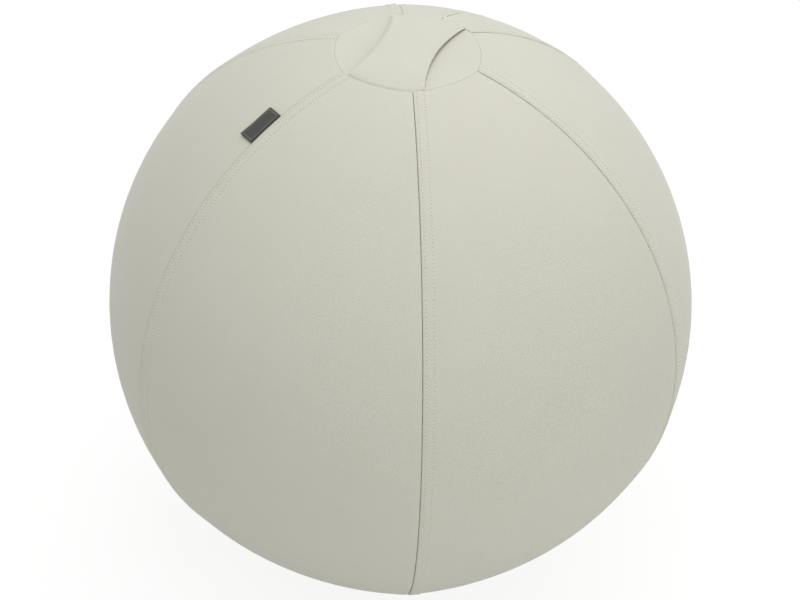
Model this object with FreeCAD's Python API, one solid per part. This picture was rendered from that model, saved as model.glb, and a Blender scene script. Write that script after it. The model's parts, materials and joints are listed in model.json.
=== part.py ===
# Sitting ball: a sewn cloth cover with a carry handle and a concealed zip, over an inflated inner ball
# that stands on a sand pouch.  The origin is on the floor under the ball's middle and +Z is up.
# The handle runs along Y, the front is -Y and the zip is at the back.  Millimetres and degrees.
import FreeCAD, Part
import math
import os

from FreeCAD import Rotation, Vector

# Cover
BALL_DIAMETER = 650.0  # across opposite seams at the widest
PANEL_FLAT = 5.0  # how far the middle of a panel lies inside the seams' circle
CLOTH = 1.2
PANEL_COUNT = 6
SEAM_LAP = 13.0  # band along each seam where one panel's edge is lapped and stitched down
SEAM_LAP_RISE = 0.6
LAP_OVERRUN = 2.0  # degrees by which the cut beside a lap runs past the panel
RIM_RADIUS = 79.0  # crown and base openings, measured at a seam
RIM_CLEARANCE = 0.4  # between an opening's edge and the disc sewn into it
FLOOR_CLEARANCE = 0.5  # lower edge of the panels above the floor
CROWN_RISE = 1.5
BASE_THICKNESS = 2.0
LAYER_GAP = 0.3  # between layers that lie on each other

# Carry handle
HANDLE_END_WIDTH = 90.0
HANDLE_WAIST_WIDTH = 62.0
HANDLE_THICKNESS = 2.4
HANDLE_RISE = 7.5
HANDLE_TURN = 7.0  # its middle line is sewn a little askew of the panels' middles
HANDLE_HEM = 9.0  # flat length sewn down at each end
HANDLE_BEND = 25.0

# Side tag, a folded ribbon
TAG_LENGTH = 40.5
TAG_WIDTH = 20.5
TAG_RIBBON = 0.35
TAG_FOLD = 0.3  # space between the ribbon's two leaves
TAG_POLAR = 31.7  # angle of its middle from the upright axis
TAG_FROM_SEAM = 0.8

# Zip, which closes downwards
ZIP_SLIT = 1.8
ZIP_TOP = 16.2  # angles of the slit's ends from the upright axis
ZIP_BOTTOM = 91.8
TAPE_WIDTH = 14.0
TAPE_THICKNESS = 0.6
TAPE_OVERRUN = 1.2  # degrees past the slit at its lower end
COIL_HEIGHT = 2.2
COIL_WIDTH = 2.6
COIL_SPACE = 1.2  # between the two rows of loops, for the slider's neck
COIL_PITCH = 3.2
COIL_LOOP = 1.5
COIL_SPINE = 0.9
SLIDER_LENGTH = 9.0
SLIDER_WALL = 1.0
SLIDER_GAP = 0.4
SLIDER_NECK = 0.7
STOP_LENGTH = 2.4
PULL_PIN = 1.3
PULL_PIN_GAP = 0.08
PULL_LUG_RADIUS = 1.6
PULL_LUG_WIDTH = 2.0
PULL_ARM = 1.2
PULL_WIDTH = 9.0
PULL_LENGTH = 26.0

# Inner ball and its valve
BLADDER_WALL = 1.0
VALVE_POLAR = 55.0
VALVE_BOSS_RADIUS = 15.0
VALVE_BOSS_DEPTH = 7.0
VALVE_SEAT_RADIUS = 9.3
VALVE_SEAT_DEPTH = 2.3
VALVE_BORE = 8.0
PLUG_HEAD = 1.8
PLUG_STEM = 12.0
PLUG_GAP = 0.1

# Sand pouch
POUCH_RADIUS = 95.0
POUCH_HEIGHT = 22.0  # of its top above the floor
POUCH_CLOTH = 1.0
SAND_GAP = 0.2

# Values that follow from the sizes above
UP = Vector(0, 0, 1)
ACROSS = Vector(1, 0, 0)
SEAM_RADIUS = BALL_DIAMETER / 2
HALF_PANEL = 180.0 / PANEL_COUNT
COS_HALF = math.cos(math.radians(HALF_PANEL))
MIDDLE_RADIUS = SEAM_RADIUS - PANEL_FLAT
# a panel turns about an upright line behind the ball's own axis, which makes it flatter than the ball
PANEL_AXIS = (SEAM_RADIUS**2 - MIDDLE_RADIUS**2) / (2 * (MIDDLE_RADIUS - SEAM_RADIUS * COS_HALF))
RIM_POLAR = math.degrees(math.asin(RIM_RADIUS / SEAM_RADIUS))
RIM_HEIGHT = math.sqrt(SEAM_RADIUS**2 - RIM_RADIUS**2)
CENTRE_HEIGHT = RIM_HEIGHT + FLOOR_CLEARANCE
CENTRE = Vector(0, 0, CENTRE_HEIGHT)
CROWN_HEIGHT = CENTRE_HEIGHT + RIM_HEIGHT
CROWN_DOME = (RIM_RADIUS**2 + CROWN_RISE**2) / (2 * CROWN_RISE)
CROWN_DOME_CENTRE = Vector(0, 0, CROWN_HEIGHT + CROWN_RISE - CROWN_DOME)
BLADDER_RADIUS = MIDDLE_RADIUS - CLOTH - LAYER_GAP
TAPE_REACH = ZIP_SLIT / 2 + TAPE_WIDTH
TAPE_TOP = math.sqrt((SEAM_RADIUS - CLOTH) ** 2 - TAPE_REACH**2) - LAYER_GAP / 2
COIL_TOP = TAPE_TOP - TAPE_THICKNESS - LAYER_GAP / 3
PULL_HEIGHT = SEAM_RADIUS + SLIDER_GAP + PULL_LUG_RADIUS  # radius at which the pull's pin runs


def polar(radius, degrees, height=0.0):
    """A point at a distance from the upright axis, in a direction seen from above."""
    turn = math.radians(degrees)
    return Vector(radius * math.cos(turn), radius * math.sin(turn), height)


def line(start, end):
    return Part.LineSegment(start, end).toShape()


def arc(start, middle, end):
    return Part.Arc(start, middle, end).toShape()


def closed_face(points):
    return Part.Face(Part.makePolygon(points + points[:1]))


def ball(radius, centre):
    return Part.makeSphere(radius, centre)


# Cover


def panel_radius(seam_radius):
    """Distance of a panel's middle from the upright axis, where its seams lie at seam_radius."""
    squared = seam_radius**2 + 2 * PANEL_AXIS * seam_radius * COS_HALF + PANEL_AXIS**2
    return math.sqrt(squared) - PANEL_AXIS


def panel_profile_point(ball_radius, polar_angle):
    """A point on the middle line of a panel that faces +X."""
    turn = math.radians(polar_angle)
    return Vector(panel_radius(ball_radius * math.sin(turn)), 0, ball_radius * math.cos(turn)) + CENTRE


def panel_profile(ball_radius, start):
    """Middle line of a panel from one polar angle near the crown to the same near the base."""
    steps = 14
    spread = 180.0 - 2 * start
    angles = [start + spread * step / steps for step in range(steps + 1)]
    curve = Part.BSplineCurve()
    curve.interpolate([panel_profile_point(ball_radius, angle) for angle in angles])
    return curve.toShape()


def swept_panel(low, high, start):
    """A panel that faces +X and runs past its seams, between two seam radii."""
    inner, outer = panel_profile(low, start), panel_profile(high, start)
    ends = [line(first.Point, second.Point) for first, second in zip(outer.Vertexes, inner.Vertexes)]
    strip = Part.Face(Part.Wire([outer, ends[0], inner, ends[1]]))
    axis = Vector(-PANEL_AXIS, 0, 0)
    strip.rotate(axis, UP, -HALF_PANEL)
    return strip.revolve(axis, UP, 2 * HALF_PANEL)


def lapped(raised, above_cloth, edge_direction):
    """A panel left thicker only in the band beside its seam in one direction."""
    band = Part.makeBox(2 * SEAM_RADIUS, SEAM_LAP, 2 * CENTRE_HEIGHT)
    band.rotate(Vector(0, 0, 0), UP, edge_direction)
    return raised.cut(above_cloth.cut(band))


def flattened_panel(direction):
    """A cover panel, flatter than the ball and cut square where it meets the next ones."""
    reach = 2 * SEAM_RADIUS
    side = reach * math.tan(math.radians(HALF_PANEL))
    sector = closed_face([Vector(0, 0, 0), Vector(reach, -side, 0), Vector(reach, side, 0)])
    raised = swept_panel(SEAM_RADIUS - CLOTH, SEAM_RADIUS + SEAM_LAP_RISE, RIM_POLAR)
    raised = raised.common(sector.extrude(UP * (2 * CENTRE_HEIGHT)))
    above_cloth = swept_panel(SEAM_RADIUS, SEAM_RADIUS + 2 * SEAM_LAP_RISE, RIM_POLAR - LAP_OVERRUN)
    panel = lapped(raised, above_cloth, -HALF_PANEL)
    panel.rotate(Vector(0, 0, 0), UP, direction)
    return panel


def round_panel(low, high, start, directions):
    """A piece of the round ball between two radii, from a polar angle and between two directions."""
    places = [(math.sin(at), math.cos(at)) for at in map(math.radians, (start, 90.0, 180.0 - start))]
    inner, outer = [[CENTRE + Vector(radius * x, 0, radius * z) for x, z in places] for radius in (low, high)]
    outline = [arc(*outer), line(outer[2], inner[2]), arc(*inner), line(inner[0], outer[0])]
    strip = Part.Face(Part.Wire(outline))
    strip.rotate(Vector(0, 0, 0), UP, directions[0])
    return strip.revolve(Vector(0, 0, 0), UP, directions[1] - directions[0])


def zip_slit():
    half = ZIP_SLIT / 2
    return zip_strip(-half, half, SEAM_RADIUS - 2 * CLOTH, SEAM_RADIUS + CLOTH, ZIP_TOP, ZIP_BOTTOM)


def zip_panel_right():
    """Half of the back panel, as round as the ball, from its lapped seam to the zip."""
    seam = 90.0 - HALF_PANEL
    raised = round_panel(SEAM_RADIUS - CLOTH, SEAM_RADIUS + SEAM_LAP_RISE, RIM_POLAR, (seam, 90.0))
    past = (seam - LAP_OVERRUN, 90.0 + LAP_OVERRUN)
    above_cloth = round_panel(SEAM_RADIUS, SEAM_RADIUS + 2 * SEAM_LAP_RISE, RIM_POLAR - LAP_OVERRUN, past)
    return lapped(raised, above_cloth, seam).cut(zip_slit())


def zip_panel_left():
    """The other half of the back panel, from the zip to the next seam."""
    directions = (90.0, 90.0 + HALF_PANEL)
    return round_panel(SEAM_RADIUS - CLOTH, SEAM_RADIUS, RIM_POLAR, directions).cut(zip_slit())


def rim_wire(clearance, height):
    """Outline of the crown or base opening: five flat arcs and the rounder one over the zip."""
    corner = RIM_RADIUS - clearance
    flat_middle = panel_radius(RIM_RADIUS) - clearance
    edges = []
    for number in range(PANEL_COUNT):
        start = number * 2 * HALF_PANEL
        facing_zip = start < 90.0 < start + 2 * HALF_PANEL
        middle = corner if facing_zip else flat_middle
        points = [(corner, start), (middle, start + HALF_PANEL), (corner, start + 2 * HALF_PANEL)]
        edges.append(arc(*[polar(radius, direction, height) for radius, direction in points]))
    return Part.Wire(edges)


def rim_prism(bottom, top):
    edge = RIM_CLEARANCE + CLOTH * math.sin(math.radians(RIM_POLAR))
    return Part.Face(rim_wire(edge, bottom)).extrude(UP * (top - bottom))


def crown_disc():
    dome = ball(CROWN_DOME, CROWN_DOME_CENTRE).cut(ball(CROWN_DOME - CLOTH, CROWN_DOME_CENTRE))
    return dome.common(rim_prism(CENTRE_HEIGHT, CROWN_HEIGHT + 2 * CROWN_RISE))


def base_disc():
    return rim_prism(0.0, BASE_THICKNESS)


# Carry handle


def handle_edges(offset):
    """One face of the handle in the YZ plane, from hem to hem, at a distance above its middle layer."""
    bend_at = RIM_RADIUS - HANDLE_HEM
    arch = (bend_at**2 + HANDLE_RISE**2 - 2 * HANDLE_BEND * HANDLE_RISE) / (2 * HANDLE_RISE)
    arch_centre = Vector(0, 0, HANDLE_RISE - arch)
    hem_out = Vector(0, RIM_RADIUS, offset)
    bend_start = Vector(0, bend_at, offset)
    bend_centre = Vector(0, bend_at, HANDLE_BEND)
    towards = (bend_centre - arch_centre).normalize()
    join = arch_centre + towards * (arch + offset)
    half_way = (Vector(0, 0, -1) - towards).normalize()
    bend_middle = bend_centre + half_way * (HANDLE_BEND - offset)
    top = Vector(0, 0, HANDLE_RISE + offset)

    def across(point):
        return Vector(0, -point.y, point.z)

    return [
        line(hem_out, bend_start),
        arc(bend_start, bend_middle, join),
        arc(join, top, across(join)),
        arc(across(join), across(bend_middle), across(bend_start)),
        line(across(bend_start), across(hem_out)),
    ]


def carry_handle():
    """A wide strap over the crown, waisted in the middle and sewn down at the front and back rim."""
    half = HANDLE_THICKNESS / 2
    upper = handle_edges(half)
    lower = handle_edges(-half)
    ends = [line(Vector(0, y, half), Vector(0, y, -half)) for y in (RIM_RADIUS, -RIM_RADIUS)]
    side = Part.Face(Part.Wire(Part.__sortEdges__(upper + lower + ends)))
    side.translate(ACROSS * -HANDLE_END_WIDTH)
    arch = side.extrude(ACROSS * (2 * HANDLE_END_WIDTH))
    hem_at = RIM_RADIUS - HANDLE_HEM
    crown_at_hem = CROWN_RISE * (1 - (hem_at / RIM_RADIUS) ** 2)
    arch.translate(UP * (CROWN_HEIGHT + crown_at_hem + LAYER_GAP + half))
    end, waist = HANDLE_END_WIDTH / 2, HANDLE_WAIST_WIDTH / 2
    corners = [(end, -RIM_RADIUS), (waist, 0), (end, RIM_RADIUS)]
    right = [Vector(x, y, CENTRE_HEIGHT) for x, y in corners]
    left = [Vector(-x, y, CENTRE_HEIGHT) for x, y in corners]
    outline = [arc(*right), line(right[2], left[2]), arc(*left), line(left[0], right[0])]
    strap = arch.common(Part.Face(Part.Wire(outline)).extrude(UP * (2 * CENTRE_HEIGHT)))
    strap.rotate(Vector(0, 0, 0), UP, HANDLE_TURN)
    return strap.common(rim_prism(CENTRE_HEIGHT, 2 * CROWN_HEIGHT))


# Side tag


def tag_frame():
    """Root point of the tag's hinge line on its panel, with the directions away from the seam,
    along the seam and out of the cloth."""
    direction = -180.0 + HALF_PANEL
    turn = math.radians(TAG_POLAR)
    seam_radius = SEAM_RADIUS * math.sin(turn)
    from_axis = panel_radius(seam_radius) + PANEL_AXIS
    to_seam = math.asin(seam_radius * math.sin(math.radians(HALF_PANEL)) / from_axis)
    to_middle = to_seam - (TAG_FROM_SEAM + TAG_WIDTH / 2) / from_axis
    facing = direction + math.degrees(to_middle)
    slope = (seam_radius + PANEL_AXIS * COS_HALF) / from_axis
    steep = math.atan2(math.sin(turn), slope * math.cos(turn))
    normal = polar(math.sin(steep), facing, math.cos(steep))
    along = polar(math.cos(turn), direction + HALF_PANEL, -math.sin(turn))
    out = (normal - along * normal.dot(along)).normalize()
    away = along.cross(out)
    on_cloth = polar(from_axis, facing, SEAM_RADIUS * math.cos(turn)) - polar(PANEL_AXIS, direction) + CENTRE
    lift = LAYER_GAP + tag_half_height()
    return on_cloth - away * (TAG_WIDTH / 2) + out * lift, away, along, out


def tag_half_height():
    return TAG_RIBBON + TAG_FOLD / 2


def slot_outline(start, end, half_height):
    """A long slot with round ends between two places on the X axis, in the XZ plane."""
    first, last = start + half_height, end - half_height
    up, down = Vector(0, 0, half_height), Vector(0, 0, -half_height)
    near, far = Vector(first, 0, 0), Vector(last, 0, 0)
    return Part.Wire(
        [
            line(near + up, far + up),
            arc(far + up, Vector(end, 0, 0), far + down),
            line(far + down, near + down),
            arc(near + down, Vector(start, 0, 0), near + up),
        ]
    )


def side_tag():
    """A ribbon folded into a flat loop, whose round root is its hinge line."""
    half = tag_half_height()
    outer = Part.Face(slot_outline(-half, TAG_WIDTH - half, half))
    inner = Part.Face(slot_outline(half, TAG_WIDTH - half - TAG_RIBBON, TAG_FOLD / 2))
    loop = outer.cut(inner).extrude(Vector(0, TAG_LENGTH, 0))
    loop.translate(Vector(0, -TAG_LENGTH / 2, 0))
    root, away, along, out = tag_frame()
    loop.Placement = FreeCAD.Placement(root, Rotation(away, along, out, "ZXY")).multiply(loop.Placement)
    return loop


# Zip


def zip_strip(left, right, bottom, top, start, end):
    """A strip along the zip: its sides across, its radii from the ball's middle and its polar angles."""
    corners = [(left, bottom), (right, bottom), (right, top), (left, top)]
    section = closed_face([CENTRE + Vector(x, 0, radius) for x, radius in corners])
    section.rotate(CENTRE, -ACROSS, start)
    return section.revolve(CENTRE, -ACROSS, end - start)


def along_zip(length, radius):
    """Angle that a length takes along the zip."""
    return math.degrees(length / radius)


def mirrored(shape):
    return shape.mirror(Vector(0, 0, 0), ACROSS)


def zip_tape():
    bottom = TAPE_TOP - TAPE_THICKNESS
    return zip_strip(ZIP_SLIT / 2, TAPE_REACH, bottom, TAPE_TOP, ZIP_TOP, ZIP_BOTTOM + TAPE_OVERRUN)


def stop_angles():
    """Angles at which the lower stops begin, under the slider, and the upper stop ends."""
    lower = 90.0 + along_zip(SLIDER_LENGTH / 2 + SLIDER_GAP, COIL_TOP)
    upper = ZIP_TOP + along_zip(STOP_LENGTH, COIL_TOP)
    return lower, upper


def slider_travel():
    """Angle from the closed place at the ball's widest up to the upper stop."""
    return 90.0 - stop_angles()[1] - along_zip(SLIDER_LENGTH / 2 + SLIDER_GAP, COIL_TOP)


def zip_coil(phase):
    """One row of loops on a spine, sewn under its tape."""
    near, far = COIL_SPACE / 2, COIL_SPACE / 2 + COIL_WIDTH
    bottom = COIL_TOP - COIL_HEIGHT
    lower, upper = stop_angles()
    start, end = upper + along_zip(COIL_PITCH, COIL_TOP), lower - along_zip(COIL_PITCH / 2, COIL_TOP)
    pitch, loop = along_zip(COIL_PITCH, COIL_TOP), along_zip(COIL_LOOP, COIL_TOP)
    count = int((end - start) / pitch)
    spine_low = bottom + COIL_HEIGHT / 4
    spine = zip_strip(far - COIL_SPINE, far, spine_low, COIL_TOP, start - pitch, start + count * pitch)
    loops = []
    for number in range(count):
        at = start + (number + phase - 1) * pitch
        loops.append(zip_strip(near, far - COIL_SPINE / 3, bottom, COIL_TOP - COIL_HEIGHT / 8, at, at + loop))
    return spine.multiFuse(loops)


def zip_upper_stop():
    reach = COIL_SPACE / 2 + COIL_WIDTH
    return zip_strip(-reach, reach, COIL_TOP - COIL_HEIGHT, COIL_TOP, ZIP_TOP, stop_angles()[1])


def zip_lower_stops():
    near, far = COIL_SPACE / 2, COIL_SPACE / 2 + COIL_WIDTH
    start = stop_angles()[0]
    end = start + along_zip(STOP_LENGTH, COIL_TOP)
    stop = zip_strip(near, far, COIL_TOP - COIL_HEIGHT, COIL_TOP, start, end)
    return Part.makeCompound([stop, mirrored(stop)])


def zip_slider():
    """A channel behind the coils, with a thin neck through the slit and a round lug for the pull."""
    inside = COIL_SPACE / 2 + COIL_WIDTH + SLIDER_GAP
    outside = inside + SLIDER_WALL
    floor_top = COIL_TOP - COIL_HEIGHT - SLIDER_GAP
    floor = floor_top - SLIDER_WALL
    wall_top = TAPE_TOP - TAPE_THICKNESS - SLIDER_GAP
    half_section = [(outside, floor), (outside, wall_top), (inside, wall_top), (inside, floor_top)]
    corners = half_section + [(-x, y) for x, y in reversed(half_section)]
    base = CENTRE_HEIGHT - SLIDER_LENGTH / 2
    channel = closed_face([Vector(x, y, base) for x, y in corners]).extrude(UP * SLIDER_LENGTH)
    upright = [
        edge for edge in channel.Edges
        if abs(edge.Vertexes[0].X) > inside + SLIDER_WALL / 2 and edge.Length > wall_top - floor - 0.1
        and abs(edge.tangentAt(edge.FirstParameter).y) > 0.9
    ]
    channel = channel.makeFillet(0.9 * SLIDER_WALL, upright)
    half_neck = PULL_LUG_RADIUS
    neck = Part.makeBox(
        SLIDER_NECK, PULL_HEIGHT - floor_top + SLIDER_WALL / 2, 2 * half_neck,
        Vector(-SLIDER_NECK / 2, floor_top - SLIDER_WALL / 2, CENTRE_HEIGHT - half_neck),
    )
    pin_start = Vector(-PULL_LUG_WIDTH / 2, PULL_HEIGHT, CENTRE_HEIGHT)
    lug = Part.makeCylinder(PULL_LUG_RADIUS, PULL_LUG_WIDTH, pin_start, ACROSS)
    hole = Part.makeCylinder(PULL_PIN / 2 + PULL_PIN_GAP, PULL_LUG_WIDTH, pin_start, ACROSS)
    return channel.fuse(neck).fuse(lug).cut(hole).removeSplitter()


def zip_pull():
    """A forked tear-drop tongue that hangs from the slider's lug by its pin."""
    fork = PULL_LUG_WIDTH / 2 + SLIDER_GAP
    shoulder = fork + PULL_ARM
    fork_depth = PULL_LUG_RADIUS + fork
    half = PULL_WIDTH / 2
    end_centre = PULL_LENGTH - half
    back = -PULL_PIN / 2

    def at(x, down):
        return Vector(x, back, -down)

    outline = [
        line(at(-shoulder, 0), at(-shoulder, fork_depth)),
        line(at(-shoulder, fork_depth), at(-half, end_centre)),
        arc(at(-half, end_centre), at(0, PULL_LENGTH), at(half, end_centre)),
        line(at(half, end_centre), at(shoulder, fork_depth)),
        line(at(shoulder, fork_depth), at(shoulder, 0)),
        line(at(shoulder, 0), at(fork, 0)),
        line(at(fork, 0), at(fork, fork_depth)),
        arc(at(fork, fork_depth), at(0, fork_depth + fork), at(-fork, fork_depth)),
        line(at(-fork, fork_depth), at(-fork, 0)),
        line(at(-fork, 0), at(-shoulder, 0)),
    ]
    tongue = Part.Face(Part.Wire(outline)).extrude(Vector(0, PULL_PIN, 0))
    pin = Part.makeCylinder(PULL_PIN / 2, 2 * shoulder, Vector(-shoulder, 0, 0), ACROSS)
    pull = tongue.fuse(pin).removeSplitter()
    pull.translate(Vector(0, PULL_HEIGHT, CENTRE_HEIGHT))
    return pull


# Inner ball


def pouch_dome():
    """Radius and centre height of the sphere that the sand pouch's top belongs to."""
    edge = CENTRE_HEIGHT - math.sqrt(pouch_bowl() ** 2 - POUCH_RADIUS**2)
    rise = POUCH_HEIGHT - edge
    radius = (POUCH_RADIUS**2 + rise**2) / (2 * rise)
    return radius, POUCH_HEIGHT - radius


def pouch_bowl():
    """Radius of the sphere that the pouch's underside follows, just inside the panels."""
    rim_middle = math.hypot(panel_radius(RIM_RADIUS), RIM_HEIGHT)
    return rim_middle - CLOTH - 2 * LAYER_GAP


def inner_ball_form(inset):
    """The filled inner ball: flat under the crown, dented over the sand pouch, less a wall."""
    form = ball(BLADDER_RADIUS - inset, CENTRE)
    form = form.common(ball(CROWN_DOME - CLOTH - LAYER_GAP - inset, CROWN_DOME_CENTRE))
    dome, dome_height = pouch_dome()
    return form.cut(ball(dome + LAYER_GAP + inset, Vector(0, 0, dome_height)))


def valve_rod(radius, outer, inner):
    """A round rod on the valve's axis between two radii from the ball's middle."""
    turn = math.radians(VALVE_POLAR)
    out = Vector(0, math.sin(turn), math.cos(turn))
    return Part.makeCylinder(radius, outer - inner, CENTRE + out * inner, out)


def inner_ball():
    outer = inner_ball_form(0.0)
    shell = outer.cut(inner_ball_form(BLADDER_WALL))
    boss = valve_rod(VALVE_BOSS_RADIUS, BLADDER_RADIUS + VALVE_BOSS_DEPTH, BLADDER_RADIUS - VALVE_BOSS_DEPTH)
    shell = shell.fuse(boss.common(outer))
    seat = valve_rod(VALVE_SEAT_RADIUS, BLADDER_RADIUS + VALVE_BOSS_DEPTH, BLADDER_RADIUS - VALVE_SEAT_DEPTH)
    bore = valve_rod(VALVE_BORE / 2, BLADDER_RADIUS, BLADDER_RADIUS - 2 * VALVE_BOSS_DEPTH)
    return shell.cut(seat).cut(bore)


def valve_plug():
    """A mushroom plug, flush in its seat, with a ridge that keeps it in the bore."""
    under_head = BLADDER_RADIUS - VALVE_SEAT_DEPTH + PLUG_GAP
    head = valve_rod(VALVE_SEAT_RADIUS - LAYER_GAP, under_head + PLUG_HEAD, under_head)
    stem = valve_rod(VALVE_BORE / 2 - PLUG_GAP, under_head, under_head - PLUG_STEM)
    past_bore = BLADDER_RADIUS - VALVE_BOSS_DEPTH - LAYER_GAP
    ridge = valve_rod(VALVE_BORE / 2 + 4 * PLUG_GAP, past_bore, past_bore - PLUG_HEAD)
    return head.fuse(stem).fuse(ridge).removeSplitter()


# Sand pouch


def pouch_form(inset):
    """The filled pouch: a flat foot, the cover's bowl round it and a low dome on top."""
    dome, dome_height = pouch_dome()
    form = ball(pouch_bowl() - inset, CENTRE).common(ball(dome - inset, Vector(0, 0, dome_height)))
    foot = BASE_THICKNESS + LAYER_GAP + inset
    above = Part.makeCylinder(2 * POUCH_RADIUS, POUCH_HEIGHT, Vector(0, 0, foot))
    return form.common(above)


def weight_pouch():
    return pouch_form(0.0).cut(pouch_form(POUCH_CLOTH))


def sand_fill():
    return pouch_form(POUCH_CLOTH + SAND_GAP)


def nodes():
    """Every piece of the ball by name."""
    pieces = {
        "front_panel": flattened_panel(-90.0),
        "front_right_panel": flattened_panel(-30.0),
        "back_right_panel": flattened_panel(30.0),
        "back_left_panel": flattened_panel(150.0),
        "front_left_panel": flattened_panel(-150.0),
        "zip_panel_right": zip_panel_right(),
        "zip_panel_left": zip_panel_left(),
        "crown_disc": crown_disc(),
        "base_disc": base_disc(),
        "carry_handle": carry_handle(),
        "side_tag": side_tag(),
        "zip_tape_right": zip_tape(),
        "zip_tape_left": mirrored(zip_tape()),
        "zip_coil_right": zip_coil(0.0),
        "zip_coil_left": mirrored(zip_coil(0.5)),
        "zip_upper_stop": zip_upper_stop(),
        "zip_lower_stops": zip_lower_stops(),
        "zip_slider": zip_slider(),
        "zip_pull": zip_pull(),
        "inner_ball": inner_ball(),
        "valve_plug": valve_plug(),
        "weight_pouch": weight_pouch(),
        "sand_fill": sand_fill(),
    }
    return pieces


def main():
    os.makedirs("parts", exist_ok=True)
    for name, shape in nodes().items():
        shape.exportStep("parts/" + name + ".step")
        volume = shape.Volume / 1000.0
        print(name, "valid" if shape.isValid() else "not valid", len(shape.Solids), "solids", round(volume, 3), "cm3")


if __name__ == "__main__":
    main()
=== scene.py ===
import json
import math

import bmesh
import bpy
from bpy.props import FloatProperty, FloatVectorProperty, PointerProperty
from mathutils import Matrix, Quaternion, Vector, noise


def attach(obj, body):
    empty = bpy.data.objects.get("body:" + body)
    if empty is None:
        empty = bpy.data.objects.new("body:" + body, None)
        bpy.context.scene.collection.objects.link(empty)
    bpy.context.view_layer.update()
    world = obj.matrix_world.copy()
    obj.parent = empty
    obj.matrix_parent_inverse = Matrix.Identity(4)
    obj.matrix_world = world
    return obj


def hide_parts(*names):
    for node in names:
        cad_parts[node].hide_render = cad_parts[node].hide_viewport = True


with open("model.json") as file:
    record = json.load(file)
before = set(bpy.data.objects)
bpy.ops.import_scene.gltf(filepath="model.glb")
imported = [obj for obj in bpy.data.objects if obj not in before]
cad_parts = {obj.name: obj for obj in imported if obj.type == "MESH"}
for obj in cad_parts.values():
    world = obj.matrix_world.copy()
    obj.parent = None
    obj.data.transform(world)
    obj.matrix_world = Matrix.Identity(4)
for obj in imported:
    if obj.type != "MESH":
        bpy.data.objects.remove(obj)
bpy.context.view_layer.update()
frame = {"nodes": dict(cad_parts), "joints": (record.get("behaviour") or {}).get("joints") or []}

bl_info = {
    "name": "Sitting ball",
    "version": (1, 0, 0),
    "blender": (4, 5, 0),
    "location": "View3D > Sidebar > Sitting ball",
    "description": "Dresses the frame of a sitting ball in its sewn cover, strap, tag and zip",
    "category": "Object",
}

MM = 0.001
UP = Vector((0, 0, 1))
RIGHT = Vector((1, 0, 0))
RIGHT_ANGLE = math.pi / 2
JOINTS = {joint["name"]: joint for joint in frame["joints"]}
BALL_CENTRE = Vector(JOINTS["zip_slide"]["pos_m"])

# Cover, as the frame has it
SEAM_RADIUS = 325 * MM
PANEL_MIDDLE_RADIUS = 320 * MM
HALF_PANEL = math.radians(30)
RIM_RADIUS = 79 * MM
CROWN_RISE = 1.5 * MM
FLAT_PANEL_AXIS = (SEAM_RADIUS**2 - PANEL_MIDDLE_RADIUS**2) / (
    2 * (PANEL_MIDDLE_RADIUS - SEAM_RADIUS * math.cos(HALF_PANEL))
)
RIM_POLAR = math.asin(RIM_RADIUS / SEAM_RADIUS)
SEAM_LENGTH = SEAM_RADIUS * (math.pi - 2 * RIM_POLAR)
CROWN_HEIGHT = BALL_CENTRE.z + SEAM_RADIUS * math.cos(RIM_POLAR)
ZIP_TOP = math.radians(16.2)
ZIP_BOTTOM = math.radians(91.8)
ZIP_START = SEAM_RADIUS * (ZIP_TOP - RIM_POLAR)  # distances down the cloth from the crown's rim
ZIP_END = SEAM_RADIUS * (ZIP_BOTTOM - RIM_POLAR)

# Carry strap, as the frame has it
STRAP_END_WIDTH = 90 * MM
STRAP_WAIST_WIDTH = 62 * MM
STRAP_TURN = math.radians(7)
STRAP_HEM = 9 * MM
STRAP_RISE = 7.5 * MM
STRAP_LAYER_GAP = 0.3 * MM
STRAP_FILLET = 1.2 * MM

# Side tag, as the frame has it
TAG_LENGTH = 40.5 * MM
TAG_WIDTH = 20.5 * MM
TAG_HALF_HEIGHT = 0.5 * MM
TAG_POLAR = math.radians(31.7)

# Zip, as the frame has it
TAPE_NEAR = 0.9 * MM
TAPE_WIDTH = 14 * MM
TAPE_RADIUS = 323.3 * MM
TAPE_THICKNESS = 0.6 * MM
TAPE_END = ZIP_BOTTOM + math.radians(1.2)
PULL_PIN = Vector(JOINTS["pull_swing"]["pos_m"])

# Sand pouch, as the frame has it
POUCH_RADIUS = 95 * MM
POUCH_TOP = 22 * MM
POUCH_FOOT = 2.3 * MM
POUCH_BOWL = 322.3 * MM


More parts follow.
